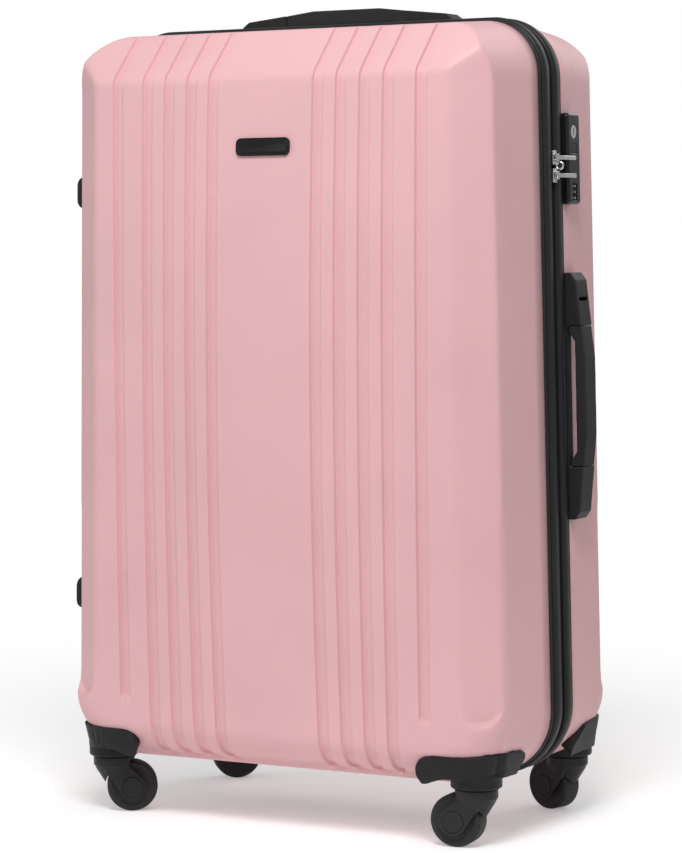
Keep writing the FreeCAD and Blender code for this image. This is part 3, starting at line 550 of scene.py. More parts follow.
# The rear half has an opening in its top edge for the trolley's housing.
housing_low, housing_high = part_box("trolley_bezel")
housing_wall = 0.003
edit(rear_skin)
for co, no in (((0, housing_low.y + housing_wall / 2, 0), (0, 1, 0)),
               ((0, housing_high.y - housing_wall / 2, 0), (0, 1, 0)),
               ((housing_low.x + housing_wall / 2, 0, 0), (1, 0, 0)),
               ((housing_high.x - housing_wall / 2, 0, 0), (1, 0, 0))):
    pick_faces(rear_skin, lambda c, n: c.z > 0.69 and abs(c.x - case_middle) < 0.13)
    bpy.ops.mesh.bisect(plane_co=co, plane_no=no)
pick_faces(rear_skin, lambda c, n: c.z > 0.69
           and housing_low.x + housing_wall / 2 < c.x < housing_high.x - housing_wall / 2
           and housing_low.y + housing_wall / 2 < c.y < housing_high.y - housing_wall / 2)
bpy.ops.mesh.delete(type="FACE")
done()

for skin, body, node in ((front_skin, "front_case", "front_shell"),
                         (rear_skin, "rear_case", "rear_shell")):
    solid_wall(skin, shell_wall)
    fit(skin, pink_abs, body, node)


# ---- Closure band --------------------------------------------------------------------
# Each half's edge sits in an extruded rubber welt: a flat flange on the shell and a proud
# round bead. Between the beads run the two woven zip tapes with their nylon coil.
welt_proud = 0.004
zip_half = 0.0045
tape_inset = 0.0012


def outline_points(count_corner, count_straight):
    """Points and outward directions round the case's outline, narrowed towards the top."""
    across = half_width - corner_radius
    up = (shell_high - shell_low) / 2 - corner_radius
    middle = (shell_low + shell_high) / 2
    places = []
    for quarter in range(4):
        sx = (1, 1, -1, -1)[quarter]
        sz = (-1, 1, 1, -1)[quarter]
        first = (-90, 0, 90, 180)[quarter]
        for i in range(count_corner + 1):
            a = math.radians(first + 90 * i / count_corner)
            places.append((sx * across + corner_radius * math.cos(a),
                           middle + sz * up + corner_radius * math.sin(a),
                           math.cos(a), math.sin(a)))
        last = places[-1]
        nx, nz = last[2], last[3]
        length = 2 * (up if quarter in (0, 2) else across)
        for i in range(1, count_straight):
            step = length * i / count_straight
            places.append((last[0] - nz * step, last[1] + nx * step, nx, nz))
    placed = []
    for x, z, nx, nz in places:
        x, z = (float(value) for value in fuller_corner(x, z))
        weight = float(smooth_step(taper_from, taper_full, abs(x)))
        x += math.copysign(1.0, x) * side_taper * (half_height - z) * weight + case_middle
        placed.append((Vector((x, 0.0, z)), Vector((nx, 0.0, nz))))
    return placed


def built(name, verts, edges, faces):
    """A new piece from its corners and the edges or faces between them."""
    mesh = bpy.data.meshes.new(name)
    mesh.from_pydata(verts, edges, faces)
    piece = bpy.data.objects.new(name, mesh)
    bpy.context.scene.collection.objects.link(piece)
    return piece


def turn_outwards(piece):
    edit(piece)
    bpy.ops.mesh.select_all(action="SELECT")
    bpy.ops.mesh.normals_make_consistent(inside=False)
    done()


def ring_piece(name, section, count_corner=22, count_straight=40):
    """A closed ring round the case with a section of (depth y, proud) points."""
    stations = outline_points(count_corner, count_straight)
    verts = [p + n * proud + Vector((0, y, 0)) for p, n in stations for y, proud in section]
    wide = len(section)
    count = len(stations)
    faces = [(i * wide + j, i * wide + (j + 1) % wide,
              (i + 1) % count * wide + (j + 1) % wide, (i + 1) % count * wide + j)
             for i in range(count) for j in range(wide)]
    piece = built(name, verts, [], faces)
    turn_outwards(piece)
    bpy.ops.object.shade_smooth_by_angle(angle=math.radians(50))
    return piece


welt_rubber = moulded("welt_rubber", (0.019, 0.0185, 0.0193), 0.12, 0.42, 1800.0, 0.00003)
bead_start = -0.0172
bead_middle = (bead_start - zip_half) / 2
bead_half = (-zip_half - bead_start) / 2
section = [(-0.0232, -0.0012), (-0.0234, 0.0003), (-0.0231, 0.0009), (-0.0224, 0.0012),
           (-0.0184, 0.0012), (-0.0177, 0.0009)]
for i in range(13):
    turn = math.pi * i / 12
    section.append((bead_middle - bead_half * math.cos(turn),
                    0.0008 + (welt_proud - 0.0008) * math.sin(turn) ** 0.62))
section += [(-zip_half, -0.0006), (-zip_half - 0.0006, -0.0016), (-0.0215, -0.0016)]
front_welt = ring_piece("front_welt_bead", section)
rear_welt = mirrored(front_welt, "rear_welt_bead")
for welt, body, node in ((front_welt, "front_case", "front_welt"),
                         (rear_welt, "rear_case", "rear_welt")):
    fit(welt, welt_rubber, body, node)

# Woven cloth: threads along the three axes, of which any face shows two.
weave_group, weave_in, weave_out = shader_group(
    "woven_cloth",
    [("Vector", "NodeSocketVector", None), ("Threads", "NodeSocketFloat", 700.0)],
    [("Height", "NodeSocketFloat"), ("Tone", "NodeSocketFloat")])
total = None
for axis in ("X", "Y", "Z"):
    wave = weave_group.nodes.new("ShaderNodeTexWave")
    wave.bands_direction = axis
    wave.inputs["Distortion"].default_value = 0.6
    wave.inputs["Detail"].default_value = 1.0
    weave_group.links.new(weave_in.outputs["Vector"], wave.inputs["Vector"])
    weave_group.links.new(weave_in.outputs["Threads"], wave.inputs["Scale"])
    if total is None:
        total = wave.outputs["Fac"]
        continue
    add = weave_group.nodes.new("ShaderNodeMath")
    add.operation = "ADD"
    weave_group.links.new(total, add.inputs[0])
    weave_group.links.new(wave.outputs["Fac"], add.inputs[1])
    total = add.outputs[0]
weave_group.links.new(total, weave_out.inputs["Height"])
uneven = add_noise(weave_group, weave_in.outputs["Vector"], weave_in.outputs["Threads"], 0.04, 4.0)
weave_group.links.new(map_range(weave_group, uneven, 0.0, 1.0), weave_out.inputs["Tone"])


def woven(name, colour, spread, threads, relief, sheen):
    """A woven fabric: threads in the bump, uneven dye in the colour."""
    material, nodes, links, surface = blank_material(name, colour)
    place = nodes.new("ShaderNodeTexCoord")
    cloth = nodes.new("ShaderNodeGroup")
    cloth.node_tree = weave_group
    cloth.inputs["Threads"].default_value = threads
    links.new(place.outputs["Object"], cloth.inputs["Vector"])
    dark = [c * (1 - spread) for c in colour]
    light = [min(1.0, c * (1 + spread)) for c in colour]
    mixed_colour(nodes, links, cloth.outputs["Tone"], dark, light, surface.inputs["Base Color"])
    ranged(nodes, links, cloth.outputs["Tone"], 0.78, 0.92, surface.inputs["Roughness"])
    surface.inputs["Sheen Weight"].default_value = sheen
    bump = nodes.new("ShaderNodeBump")
    bump.inputs["Distance"].default_value = relief
    links.new(cloth.outputs["Height"], bump.inputs["Height"])
    links.new(bump.outputs["Normal"], surface.inputs["Normal"])
    return material


tape_cloth = woven("zip_tape_cloth", (0.016, 0.016, 0.017), 0.2, 900.0, 0.00012, 0.1)
coil_nylon = moulded("coil_nylon", (0.020, 0.020, 0.021), 0.1, 0.36, 2500.0, 0.00001)
hinge_low, hinge_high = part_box("fabric_hinge")


def clear_of_hinge(piece):
    """Cuts the left stretch of the zip away, where the fabric hinge is."""
    edit(piece)
    for z in (hinge_low.z, hinge_high.z):
        slice_at((0, 0, z), (0, 0, 1))
    pick_faces(piece, lambda c, n: c.x < case_middle - 0.15 and hinge_low.z < c.z < hinge_high.z)
    bpy.ops.mesh.delete(type="FACE")
    bpy.ops.mesh.select_all(action="SELECT")
    bpy.ops.mesh.fill_holes(sides=0)
    done()


tape_face = -tape_inset
front_tape = ring_piece("front_zip_band", [
    (-zip_half - 0.0004, tape_face), (-0.0030, tape_face + 0.0001), (-0.0002, tape_face + 0.0001),
    (-0.0002, tape_face - 0.0014), (-zip_half - 0.0004, tape_face - 0.0014)])
clear_of_hinge(front_tape)
rear_tape = mirrored(front_tape, "rear_zip_band")


def coil_teeth(name, side):
    """The nylon coil's turns along one tape, one small rounded block for each."""
    pitch = 0.0024
    bpy.ops.mesh.primitive_cube_add(size=1.0, location=(0, 0, 0))
    tooth = bpy.context.object
    tooth.scale = (0.0017, 0.0034, 0.0015)
    bpy.ops.object.transform_apply(location=True, rotation=True, scale=True)
    edit(tooth)
    pick_edges(tooth, lambda a, b: abs(a.y - b.y) > 0.001)
    bpy.ops.mesh.bevel(offset=0.0005, segments=2, affect="EDGES")
    done()
    corners = [v.co.copy() for v in tooth.data.vertices]
    loops = [tuple(p.vertices) for p in tooth.data.polygons]
    bpy.data.objects.remove(tooth)
    stations = outline_points(22, 300)
    verts = []
    faces = []
    run = 0.0
    due = 0.0 if side < 0 else pitch / 2
    for (a, n), (b, _) in zip(stations, stations[1:] + stations[:1]):
        length = (b - a).length
        if length < 1e-7:
            continue
        while due < run + length:
            point = a + (b - a) * ((due - run) / length)
            due += pitch
            if point.x < case_middle - 0.15 and hinge_low.z < point.z < hinge_high.z:
                continue
            along = (b - a).normalized()
            first = len(verts)
            for c in corners:
                verts.append(point + n * (c.x + tape_face + 0.0009)
                             + Vector((0, c.y + side * 0.0009, 0)) + along * c.z)
            faces += [tuple(first + i for i in loop) for loop in loops]
        run += length
    piece = built(name, verts, [], faces)
    turn_outwards(piece)
    bpy.ops.object.shade_smooth_by_angle(angle=math.radians(40))
    return piece


for tape, side, body, node in ((front_tape, -1, "front_case", "front_zip_tape"),
                               (rear_tape, 1, "rear_case", "rear_zip_tape")):
    teeth = coil_teeth(node.replace("tape", "coil"), side)
    fit(tape, tape_cloth, body, node)
    fit(teeth, coil_nylon, body)

# The fabric hinge is a woven strip sewn to both welts all down the left side.
bpy.ops.mesh.primitive_grid_add(x_subdivisions=8, y_subdivisions=60, size=1.0)
hinge = bpy.context.object
hinge.name = "hinge_strip"
hinge_reach = 0.0078
hinge_edge = half_width + 0.0001
for v in hinge.data.vertices:
    across = v.co.x * 2
    z = hinge_low.z + (v.co.y + 0.5) * (hinge_high.z - hinge_low.z)
    x = -(hinge_edge + side_taper * (half_height - z)) + 0.0021 - 0.0012 * (1 - across ** 2)
    v.co = (x + case_middle, across * hinge_reach, z)
hinge.data.flip_normals()
solid_wall(hinge, 0.0006)
turn_outwards(hinge)
bpy.ops.object.shade_smooth_by_angle(angle=math.radians(60))
dress(hinge, tape_cloth)
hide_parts("fabric_hinge")
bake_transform(hinge)


# ---- Linings -------------------------------------------------------------------------
# Thin grey polyester is glued into each half and sewn under a binding tape at the rim. The
# rear lining runs flat over the trolley's tubes. A zipped pocket is sewn to the front one.
lining_cloth = woven("lining_cloth", (0.36, 0.335, 0.345), 0.07, 520.0, 0.00007, 0.2)
binding_cloth = woven("binding_cloth", (0.03, 0.029, 0.031), 0.2, 700.0, 0.0001, 0.1)
rim_gap = 0.0046                # from the shell's outside
face_gap = 0.0063               # over the backs of the grooves
coarse_x = [side * x for side in (-1, 1) for x in (0.04, 0.08, 0.1165, 0.145, 0.165)] + [0.0]
coarse_z = [0.125, 0.14, 0.165] + [0.2 + 0.04 * i for i in range(13)]
front_cloth = pressed_half("front_lining_cloth", sorted(coarse_x), coarse_z, 20, 12, False)
form_tree = BVHTree.FromPolygons([v.co.copy() for v in front_cloth.data.vertices],
                                 [tuple(p.vertices) for p in front_cloth.data.polygons])
for v in front_cloth.data.vertices:
    gap = rim_gap + 0.0014 * (1 - float(smooth_step(0.085, 0.115, v.co.z)))
    gap += (face_gap - rim_gap) * float(smooth_step(0.055, 0.085, -v.co.y))
    spot = v.co - v.normal * gap
    for _ in range(4):
        near, normal, _, _ = form_tree.find_nearest(spot)
        if (near - spot).dot(normal) < gap * 0.95:
            spot = near - normal * gap
    v.co = spot
rear_cloth = mirrored(front_cloth, "rear_lining_cloth")
tube_cover = 0.0853
for v in rear_cloth.data.vertices:
    limit = tube_cover + 0.07 * float(smooth_step(0.119, 0.150, abs(v.co.x - case_middle)))
    v.co.y = min(v.co.y, limit)
binding_section = [(-0.0256, -0.0026), (-0.0230, -0.0024), (-0.0214, -0.0026), (-0.0208, -0.0036),
                   (-0.0212, -0.0052), (-0.0226, -0.0058), (-0.0256, -0.0056), (-0.0260, -0.0041)]
front_binding = ring_piece("front_rim_binding", binding_section, 16, 20)
rear_binding = mirrored(front_binding, "rear_rim_binding")
for cloth, binding, body, node in ((front_cloth, front_binding, "front_case", "front_lining"),
                                   (rear_cloth, rear_binding, "rear_case", "rear_lining")):
    solid_wall(cloth, 0.0010)
    fit(cloth, lining_cloth, body, node)
    fit(binding, binding_cloth, body)

pocket_low, pocket_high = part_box("front_pocket")
pocket_cloth = woven("pocket_cloth", (0.10, 0.097, 0.10), 0.1, 380.0, 0.00012, 0.15)


def pocket_panel(name, swell, thickness):
    """A panel over the front lining, a little full in its middle."""
    bpy.ops.mesh.primitive_grid_add(x_subdivisions=48, y_subdivisions=40, size=1.0)
    panel = bpy.context.object
    panel.name = name
    for v in panel.data.vertices:
        across = v.co.x * 2
        up = v.co.y * 2
        x = pocket_low.x + (v.co.x + 0.5) * (pocket_high.x - pocket_low.x)
        z = pocket_low.z + (v.co.y + 0.5) * (pocket_high.z - pocket_low.z)
        depth = float(face_form(np.array([x - case_middle]), np.array([z]), False)[0])
        full = (1 - across ** 4) * (1 - up ** 4)
        v.co = (x, -depth + face_gap + 0.0014 + thickness + swell * full, z)
    panel.data.flip_normals()
    if (panel.data.polygons[0].normal.y) < 0:
        panel.data.flip_normals()
    return panel


pocket = pocket_panel("mesh_pocket", 0.0022, 0.0006)
solid_wall(pocket, 0.0006)
hem = pocket_panel("pocket_hem", 0.0022, 0.0013)
edit(hem)
pick_faces(hem, lambda c, n: abs(c.x - (pocket_low.x + pocket_high.x) / 2) < 0.138
           and pocket_low.z + 0.012 < c.z < pocket_high.z - 0.024)
bpy.ops.mesh.delete(type="FACE")
done()
solid_wall(hem, 0.0012)
for panel, paint in ((pocket, pocket_cloth), (hem, binding_cloth)):
    bpy.ops.object.shade_smooth_by_angle(angle=math.radians(50))
    fit(panel, paint, "front_case", "front_pocket")

# Two woven packing straps cross the rear half, joined by a moulded side-release buckle.
strap_low, strap_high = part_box("packing_straps")
strap_webbing = woven("strap_webbing", (0.035, 0.034, 0.036), 0.15, 330.0, 0.0002, 0.1)
strap_width = 0.025
for number, x in ((1, strap_low.x + strap_width / 2), (2, strap_high.x - strap_width / 2)):
    bpy.ops.mesh.primitive_grid_add(x_subdivisions=10, y_subdivisions=120, size=1.0)
    strap = bpy.context.object
    strap.name = "packing_strap_%d" % number
    for v in strap.data.vertices:
        across = v.co.x * 2
        z = strap_low.z + (v.co.y + 0.5) * (strap_high.z - strap_low.z)
        edge = 0.0003 * math.exp(-((abs(across) - 0.86) / 0.05) ** 2)
        wave = 0.00035 * math.sin(z * 38.0 + number) * (1 - (2 * v.co.y) ** 2)
        v.co = (x + v.co.x * strap_width, strap_low.y + 0.0006 + wave + edge, z)
    solid_wall(strap, 0.0011)
    turn_outwards(strap)
    bpy.ops.object.shade_smooth_by_angle(angle=math.radians(50))
    fit(strap, strap_webbing, "rear_case", "packing_straps")


def softened(node, name, body, grid, rounds, paint, grown=None):
    """A moulded part: the CAD form with its facets merged and every edge rounded over."""
    piece = bpy.data.objects.new(name, bpy.data.objects[node].data.copy())
    bpy.context.scene.collection.objects.link(piece)
    edit(piece)
    bpy.ops.mesh.select_all(action="SELECT")
    bpy.ops.mesh.remove_doubles(threshold=0.000002)
    done()
    if grown:
        deselect_all()
        grown.select_set(True)
        piece.select_set(True)
        bpy.context.view_layer.objects.active = piece
        bpy.ops.object.join()
    remesh = piece.modifiers.new("even", "REMESH")
    remesh.mode = "VOXEL"
    remesh.voxel_size = grid
    smooth = piece.modifiers.new("rounded", "SMOOTH")
    smooth.factor = 0.5
    smooth.iterations = rounds
    bpy.ops.object.modifier_apply(modifier="even")
    bpy.ops.object.modifier_apply(modifier="rounded")
    bpy.ops.object.shade_smooth()
    fit(piece, paint, body, node)
    return piece


buckle_plastic = moulded("buckle_plastic", (0.028, 0.027, 0.029), 0.1, 0.4, 1200.0, 0.00003)
softened("strap_buckle", "side_release_buckle", "rear_case", 0.0004, 4,
         buckle_plastic)


# ---- Name plate and side feet --------------------------------------------------------
# The plate is a small moulded tablet glued to the front, with a raised bead inside its rim.
# Rubber-like feet on the left side carry the case when it lies down.
plate_low, plate_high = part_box("name_plate")
plate_plastic = moulded("plate_plastic", (0.013, 0.0125, 0.0133), 0.1, 0.34, 1600.0, 0.00002)
bpy.ops.mesh.primitive_cube_add(size=1.0, location=(0, 0, 0))
plate = bpy.context.object
plate.name = "front_name_plate"
plate.scale = (plate_high.x - plate_low.x, 0.0023, plate_high.z - plate_low.z)
bpy.ops.object.transform_apply(location=True, rotation=True, scale=True)
edit(plate)
pick_edges(plate, lambda a, b: abs(a.y - b.y) > 0.001)
bpy.ops.mesh.bevel(offset=0.0052, segments=9, affect="EDGES")
pick_faces(plate, lambda c, n: n.y < -0.9)
for inset, lift in ((0.0008, 0.0), (0.0001, -0.0006), (0.0016, 0.0), (0.0002, 0.0005),
                    (0.0007, 0.0), (0.0002, -0.0005)):
    bpy.ops.mesh.inset(thickness=inset)
    bpy.ops.transform.translate(value=(0, -lift, 0))
done()
rim = plate.modifiers.new("rim", "BEVEL")
rim.width = 0.00025
rim.segments = 2
rim.angle_limit = math.radians(35)
rim.use_clamp_overlap = False
bpy.ops.object.modifier_apply(modifier="rim")
bpy.ops.object.shade_smooth_by_angle(angle=math.radians(40))
plate_z = (plate_low.z + plate_high.z) / 2
face_y = -float(face_form(np.array([0.0]), np.array([plate_z]), False)[0])
plate.data.transform(Matrix.Translation((case_middle, face_y - 0.00105, plate_z))
                     @ Matrix.Rotation(math.radians(3.03), 4, "X").inverted())
fit(plate, plate_plastic, "front_case", "name_plate")
foot_rubber = moulded("foot_rubber", (0.015, 0.0145, 0.0152), 0.1, 0.55, 1400.0, 0.00005)
softened("front_side_feet", "front_rest_feet", "front_case", 0.0005, 6, foot_rubber)
softened("rear_side_feet", "rear_rest_feet", "rear_case", 0.0005, 6, foot_rubber)


# ---- Corner guards -------------------------------------------------------------------
# A moulded guard wraps each lower corner, follows the shell's curve and ends in the round
# collar that the caster turns under. Screws hold it from inside the shell.
guard_plastic = moulded("guard_plastic", (0.0145, 0.0138, 0.0146), 0.08, 0.46, 1300.0, 0.00007)
guard_proud = 0.0023
joints = {joint["name"]: joint for joint in frame["joints"]}


def inside_outline(points, a, b):
    """Whether a point is inside a closed outline."""
    within = False
    for (a1, b1), (a2, b2) in zip(points, points[1:] + points[:1]):
        if (b1 > b) != (b2 > b) and a < a1 + (b - b1) * (a2 - a1) / (b2 - b1):
            within = not within
    return within


def nearest_on_outline(points, a, b):
    """The point of an outline that is nearest, and how far it is."""
    best = (1.0, a, b)
    for (a1, b1), (a2, b2) in zip(points, points[1:] + points[:1]):
        run = (a2 - a1) ** 2 + (b2 - b1) ** 2
        t = max(0.0, min(1.0, ((a - a1) * (a2 - a1) + (b - b1) * (b2 - b1)) / run))
        pa, pb = a1 + t * (a2 - a1), b1 + t * (b2 - b1)
        best = min(best, (math.hypot(a - pa, b - pb), pa, pb))
    return best


# A plain corner of the shell, which the guards are cut from and rest on.
guard_form = pressed_half("guard_form", [-0.1, 0.0, 0.12, 0.16, 0.18, 0.2],
                          [0.07, 0.08, 0.09, 0.1, 0.12, 0.14, 0.3], 24, 22, False)
edit(guard_form)
pick_faces(guard_form, lambda c, n: c.x - case_middle < 0.125 or c.z > 0.118)
bpy.ops.mesh.delete(type="FACE")
done()
shell_tree = BVHTree.FromPolygons([v.co.copy() for v in guard_form.data.vertices],
                                  [tuple(p.vertices) for p in guard_form.data.polygons])
for v in guard_form.data.vertices:
    v.co += v.normal * guard_proud
guard_stretch = 3.2             # the guard's face drops more steeply than the shell's
front_face_outline = [(0.1557, 0.0588), (0.1530, 0.0630), (0.1512, 0.0680), (0.1508, 0.0720),
                      (0.1516, 0.0760), (0.1535, 0.0795), (0.1570, 0.0826), (0.1615, 0.0845),
                      (0.1680, 0.0856), (0.178, 0.0858), (0.190, 0.0855), (0.202, 0.0857),
                      (0.215, 0.0866), (0.225, 0.0876), (0.26, 0.0880), (0.26, 0.0650),
                      (0.1800, 0.0650), (0.1730, 0.0636), (0.1670, 0.0615), (0.1610, 0.0594)]
front_side_outline = [(-0.150, 0.050), (-0.150, 0.0880), (-0.0950, 0.0876), (-0.0780, 0.0866),
                      (-0.0690, 0.0857), (-0.0648, 0.0848), (-0.0620, 0.0830), (-0.0606, 0.0805),
                      (-0.0612, 0.0775), (-0.0642, 0.0740), (-0.0680, 0.0705), (-0.0705, 0.0675),
                      (-0.0725, 0.0645), (-0.0760, 0.050)]
rear_side_outline = [(-0.150, 0.050), (-0.150, 0.0935), (-0.1050, 0.0928), (-0.0850, 0.0918),
                     (-0.0700, 0.0908), (-0.0655, 0.0900), (-0.0600, 0.0865), (-0.0520, 0.0815),
                     (-0.0440, 0.0772), (-0.0390, 0.0740), (-0.0360, 0.0705), (-0.0350, 0.0640),
                     (-0.0450, 0.0600), (-0.0600, 0.050)]
rear_face_outline = [(x, z + 0.0054 * float(smooth_step(0.185, 0.222, x)) if z > 0.07 else z)
                     for x, z in front_face_outline]
swivel = Vector(joints["front_right_swivel"]["pos_m"])
collar_profile = [(0.0, 0.0549), (0.0223, 0.0549), (0.0238, 0.0562), (0.0238, 0.0640),
                  (0.0243, 0.0662), (0.0243, 0.0680), (0.0180, 0.0680), (0.0120, 0.0680),
                  (0.0060, 0.0680), (0.0, 0.0680)]


def corner_guard(name, face_outline, side_outline, top):
    """The front right guard: its steep face, filled back to the shell, on its collar."""
    shifted = [(x + case_middle, z) for x, z in face_outline]
    face = own_copy(guard_form, "guard_face")
    edit(face)
    pick_faces(face, lambda c, n: c.x < case_middle + 0.130)
    bpy.ops.mesh.delete(type="FACE")
    for z in np.arange(0.0705, top + 0.001, 0.0004):
        slice_at((0, 0, float(z)), (0, 0, 1))
    for x in np.arange(0.1350, 0.2240, 0.0010):
        slice_at((float(x), 0, 0), (1, 0, 0))
    for y in np.arange(-0.0990, -0.0340, 0.0012):
        slice_at((0, float(y), 0), (0, 1, 0))
    pick_faces(face, lambda c, n: c.z < 0.0705)
    bpy.ops.mesh.delete(type="FACE")
    work = bmesh.from_edit_mesh(face.data)
    for v in work.verts:
        if v.co.z < top:
            v.co.z = top - (top - v.co.z) * guard_stretch
    bmesh.update_edit_mesh(face.data)
    pick_faces(face, lambda c, n: not (inside_outline(shifted, c.x, c.z)
                                       and inside_outline(side_outline, c.y, c.z)))
    bpy.ops.mesh.delete(type="FACE")
    work = bmesh.from_edit_mesh(face.data)
    for v in work.verts:
        if not v.is_boundary:
            continue
        from_face = nearest_on_outline(shifted, v.co.x, v.co.z)
        from_side = nearest_on_outline(side_outline, v.co.y, v.co.z)
        if min(from_face[0], from_side[0]) > 0.0025:
            continue
        if from_face[0] < from_side[0]:
            v.co.x, v.co.z = from_face[1:]
        else:
            v.co.y, v.co.z = from_side[1:]
    bmesh.update_edit_mesh(face.data)
    done()
    outer = [v.co.copy() for v in face.data.vertices]
    inner = []
    for v in outer:
        near, normal, _, _ = shell_tree.find_nearest(v)
        inner.append(near - normal * 0.0008)
    count = len(outer)
    faces = [tuple(p.vertices) for p in face.data.polygons]
    uses = {}
    for loop in faces:
        for i, j in zip(loop, loop[1:] + loop[:1]):
            uses.setdefault(frozenset((i, j)), []).append((i, j))
    closed = list(faces) + [tuple(i + count for i in reversed(loop)) for loop in faces]
    closed += [(j, i, i + count, j + count) for runs in uses.values() if len(runs) == 1
               for i, j in runs]
    plate = built(name, outer + inner, [], closed)
    bpy.data.objects.remove(face)
    verts = [(swivel.x + r, swivel.y, z) for r, z in collar_profile]
    edges = [(i, i + 1) for i in range(len(verts) - 1)]
    collar = built("collar", verts, edges, [])
    edit(collar)
    bpy.ops.mesh.select_all(action="SELECT")
    bpy.ops.mesh.spin(steps=72, angle=math.tau, center=swivel, axis=(0, 0, 1))
    bpy.ops.mesh.select_all(action="SELECT")
    bpy.ops.mesh.remove_doubles(threshold=0.00001)
    bpy.ops.mesh.normals_make_consistent(inside=False)
    done()
    for v in collar.data.vertices:      # its top ends inside the shell's wall
        above_it = shell_tree.ray_cast(Vector((v.co.x, v.co.y, 0.0)), Vector((0, 0, 1)))[0]
        if above_it is not None:
            v.co.z = min(v.co.z, above_it.z + 0.0014)
    deselect_all()
    collar.select_set(True)
    plate.select_set(True)
    bpy.context.view_layer.objects.active = plate
    bpy.ops.object.join()
    remesh = plate.modifiers.new("even", "REMESH")
    remesh.mode = "VOXEL"
    remesh.voxel_size = 0.0006
    smooth = plate.modifiers.new("rounded", "SMOOTH")
    smooth.factor = 0.5
    smooth.iterations = 6
    bpy.ops.object.modifier_apply(modifier="even")
    bpy.ops.object.modifier_apply(modifier="rounded")
    bpy.ops.object.shade_smooth()
    return plate


def across_case(piece, name, flip_x, flip_y):
    """A copy on another corner of the case, mirrored as its corner needs."""
    twin = own_copy(piece, name)
    if flip_x:
        twin.data.transform(Matrix.Translation((2 * case_middle, 0, 0))
                            @ Matrix.Scale(-1, 4, Vector((1, 0, 0))))
    if flip_y:
        twin.data.transform(Matrix.Scale(-1, 4, Vector((0, 1, 0))))
    if flip_x != flip_y:
        twin.data.flip_normals()
    return twin


front_guard = corner_guard("front_guard_plate", front_face_outline, front_side_outline, 0.0884)
rear_guard = corner_guard("rear_guard_plate", rear_face_outline, rear_side_outline, 0.0940)
guards = [(across_case(front_guard, "front_right_guard", False, False), "front", "right"),
          (across_case(front_guard, "front_left_guard", True, False), "front", "left"),
          (across_case(rear_guard, "rear_right_guard", False, True), "rear", "right"),
          (across_case(rear_guard, "rear_left_guard", True, True), "rear", "left")]
for spare in (front_guard, rear_guard, guard_form):
    bpy.data.objects.remove(spare)
for guard, end, side in guards:
    fit(guard, guard_plastic, end + "_case", "%s_guard_%s" % (end, side))


# ---- Casters -------------------------------------------------------------------------
# A moulded nylon fork turns on a steel king pin under each guard. It carries one wheel on a
# steel axle, whose ends are covered by flush round caps.
fork_nylon = moulded("fork_nylon", (0.023, 0.0224, 0.0235), 0.08, 0.42, 1300.0, 0.00004)
wheel_plastic = moulded("wheel_plastic", (0.029, 0.0282, 0.0295), 0.10, 0.5, 900.0, 0.00006)
plain_steel = moulded("plain_steel", (0.56, 0.56, 0.57), 0.05, 0.32, 2200.0, 0.00001, 1.0)
wheel_radius = 0.0245
wheel_half = 0.0107


def round_part(name, place, axle, profile):
    """A turned part: a line of (radius, distance along the axle) points spun about it."""
    turn = Vector((0, 0, 1)).rotation_difference(axle).to_matrix().to_4x4()
    piece = built(name, [(r, 0, h) for r, h in profile],
                  [(i, i + 1) for i in range(len(profile) - 1)], [])
    edit(piece)
    bpy.ops.mesh.select_all(action="SELECT")
    bpy.ops.mesh.spin(steps=64, angle=math.tau, center=(0, 0, 0), axis=(0, 0, 1))
    bpy.ops.mesh.select_all(action="SELECT")
    bpy.ops.mesh.remove_doubles(threshold=0.00001)
    bpy.ops.mesh.normals_make_consistent(inside=False)
    done()
    bpy.ops.object.shade_smooth_by_angle(angle=math.radians(35))
    piece.data.transform(Matrix.Translation(place) @ turn)
    return piece


wheel_profile = [(0.0, 0.0098), (0.0160, 0.0102), (0.0175, 0.0101), (0.0182, 0.0104),
                 (0.0212, 0.0107)]
for i in range(1, 8):
    bend = math.pi / 2 * i / 7
    wheel_profile.append((wheel_radius - 0.0033 + 0.0033 * math.sin(bend),
                          wheel_half - 0.0033 + 0.0033 * math.cos(bend)))
wheel_profile += [(wheel_radius, 0.0)]
wheel_profile += [(r, -h) for r, h in wheel_profile[-2::-1]]
neck_profile = [(0.0, 0.0541), (0.0193, 0.0541), (0.0198, 0.0536), (0.0198, 0.0478),
                (0.0190, 0.0446), (0.0170, 0.0405), (0.0140, 0.0358), (0.0110, 0.0310),
                (0.0085, 0.0272), (0.0, 0.0262)]
well_profile = [(0.0, 0.0117), (0.0262, 0.0117), (0.0262, -0.0117), (0.0, -0.0117)]
for corner in ("front_right", "front_left", "rear_right", "rear_left"):
    roll = joints[corner + "_roll"]
    place = Vector(roll["pos_m"])
    axle = Vector(roll["axis"]).normalized()
    neck = round_part("neck", Vector(joints[corner + "_swivel"]["pos_m"]) * Vector((1, 1, 0)),
                      Vector((0, 0, 1)), neck_profile)
    well = round_part("wheel_well", place, axle, well_profile)
    deselect_all()
    bpy.context.view_layer.objects.active = neck
    hollow = neck.modifiers.new("hollow", "BOOLEAN")
    hollow.object = well
    bpy.ops.object.modifier_apply(modifier="hollow")
    bpy.data.objects.remove(well)
    softened(corner + "_fork", corner + "_caster_fork", corner + "_caster",
             0.0005, 10, fork_nylon, neck)
    wheel = round_part(corner + "_caster_wheel", place, axle, wheel_profile)
    fit(wheel, wheel_plastic, corner + "_roller", corner + "_wheel")
    softened(corner + "_axle", corner + "_hub_caps", corner + "_caster",
             0.0004, 4, fork_nylon)
for node in ("front_king_pins", "rear_king_pins", "front_guard_screws", "rear_guard_screws"):
    dress(bpy.data.objects[node], plain_steel)


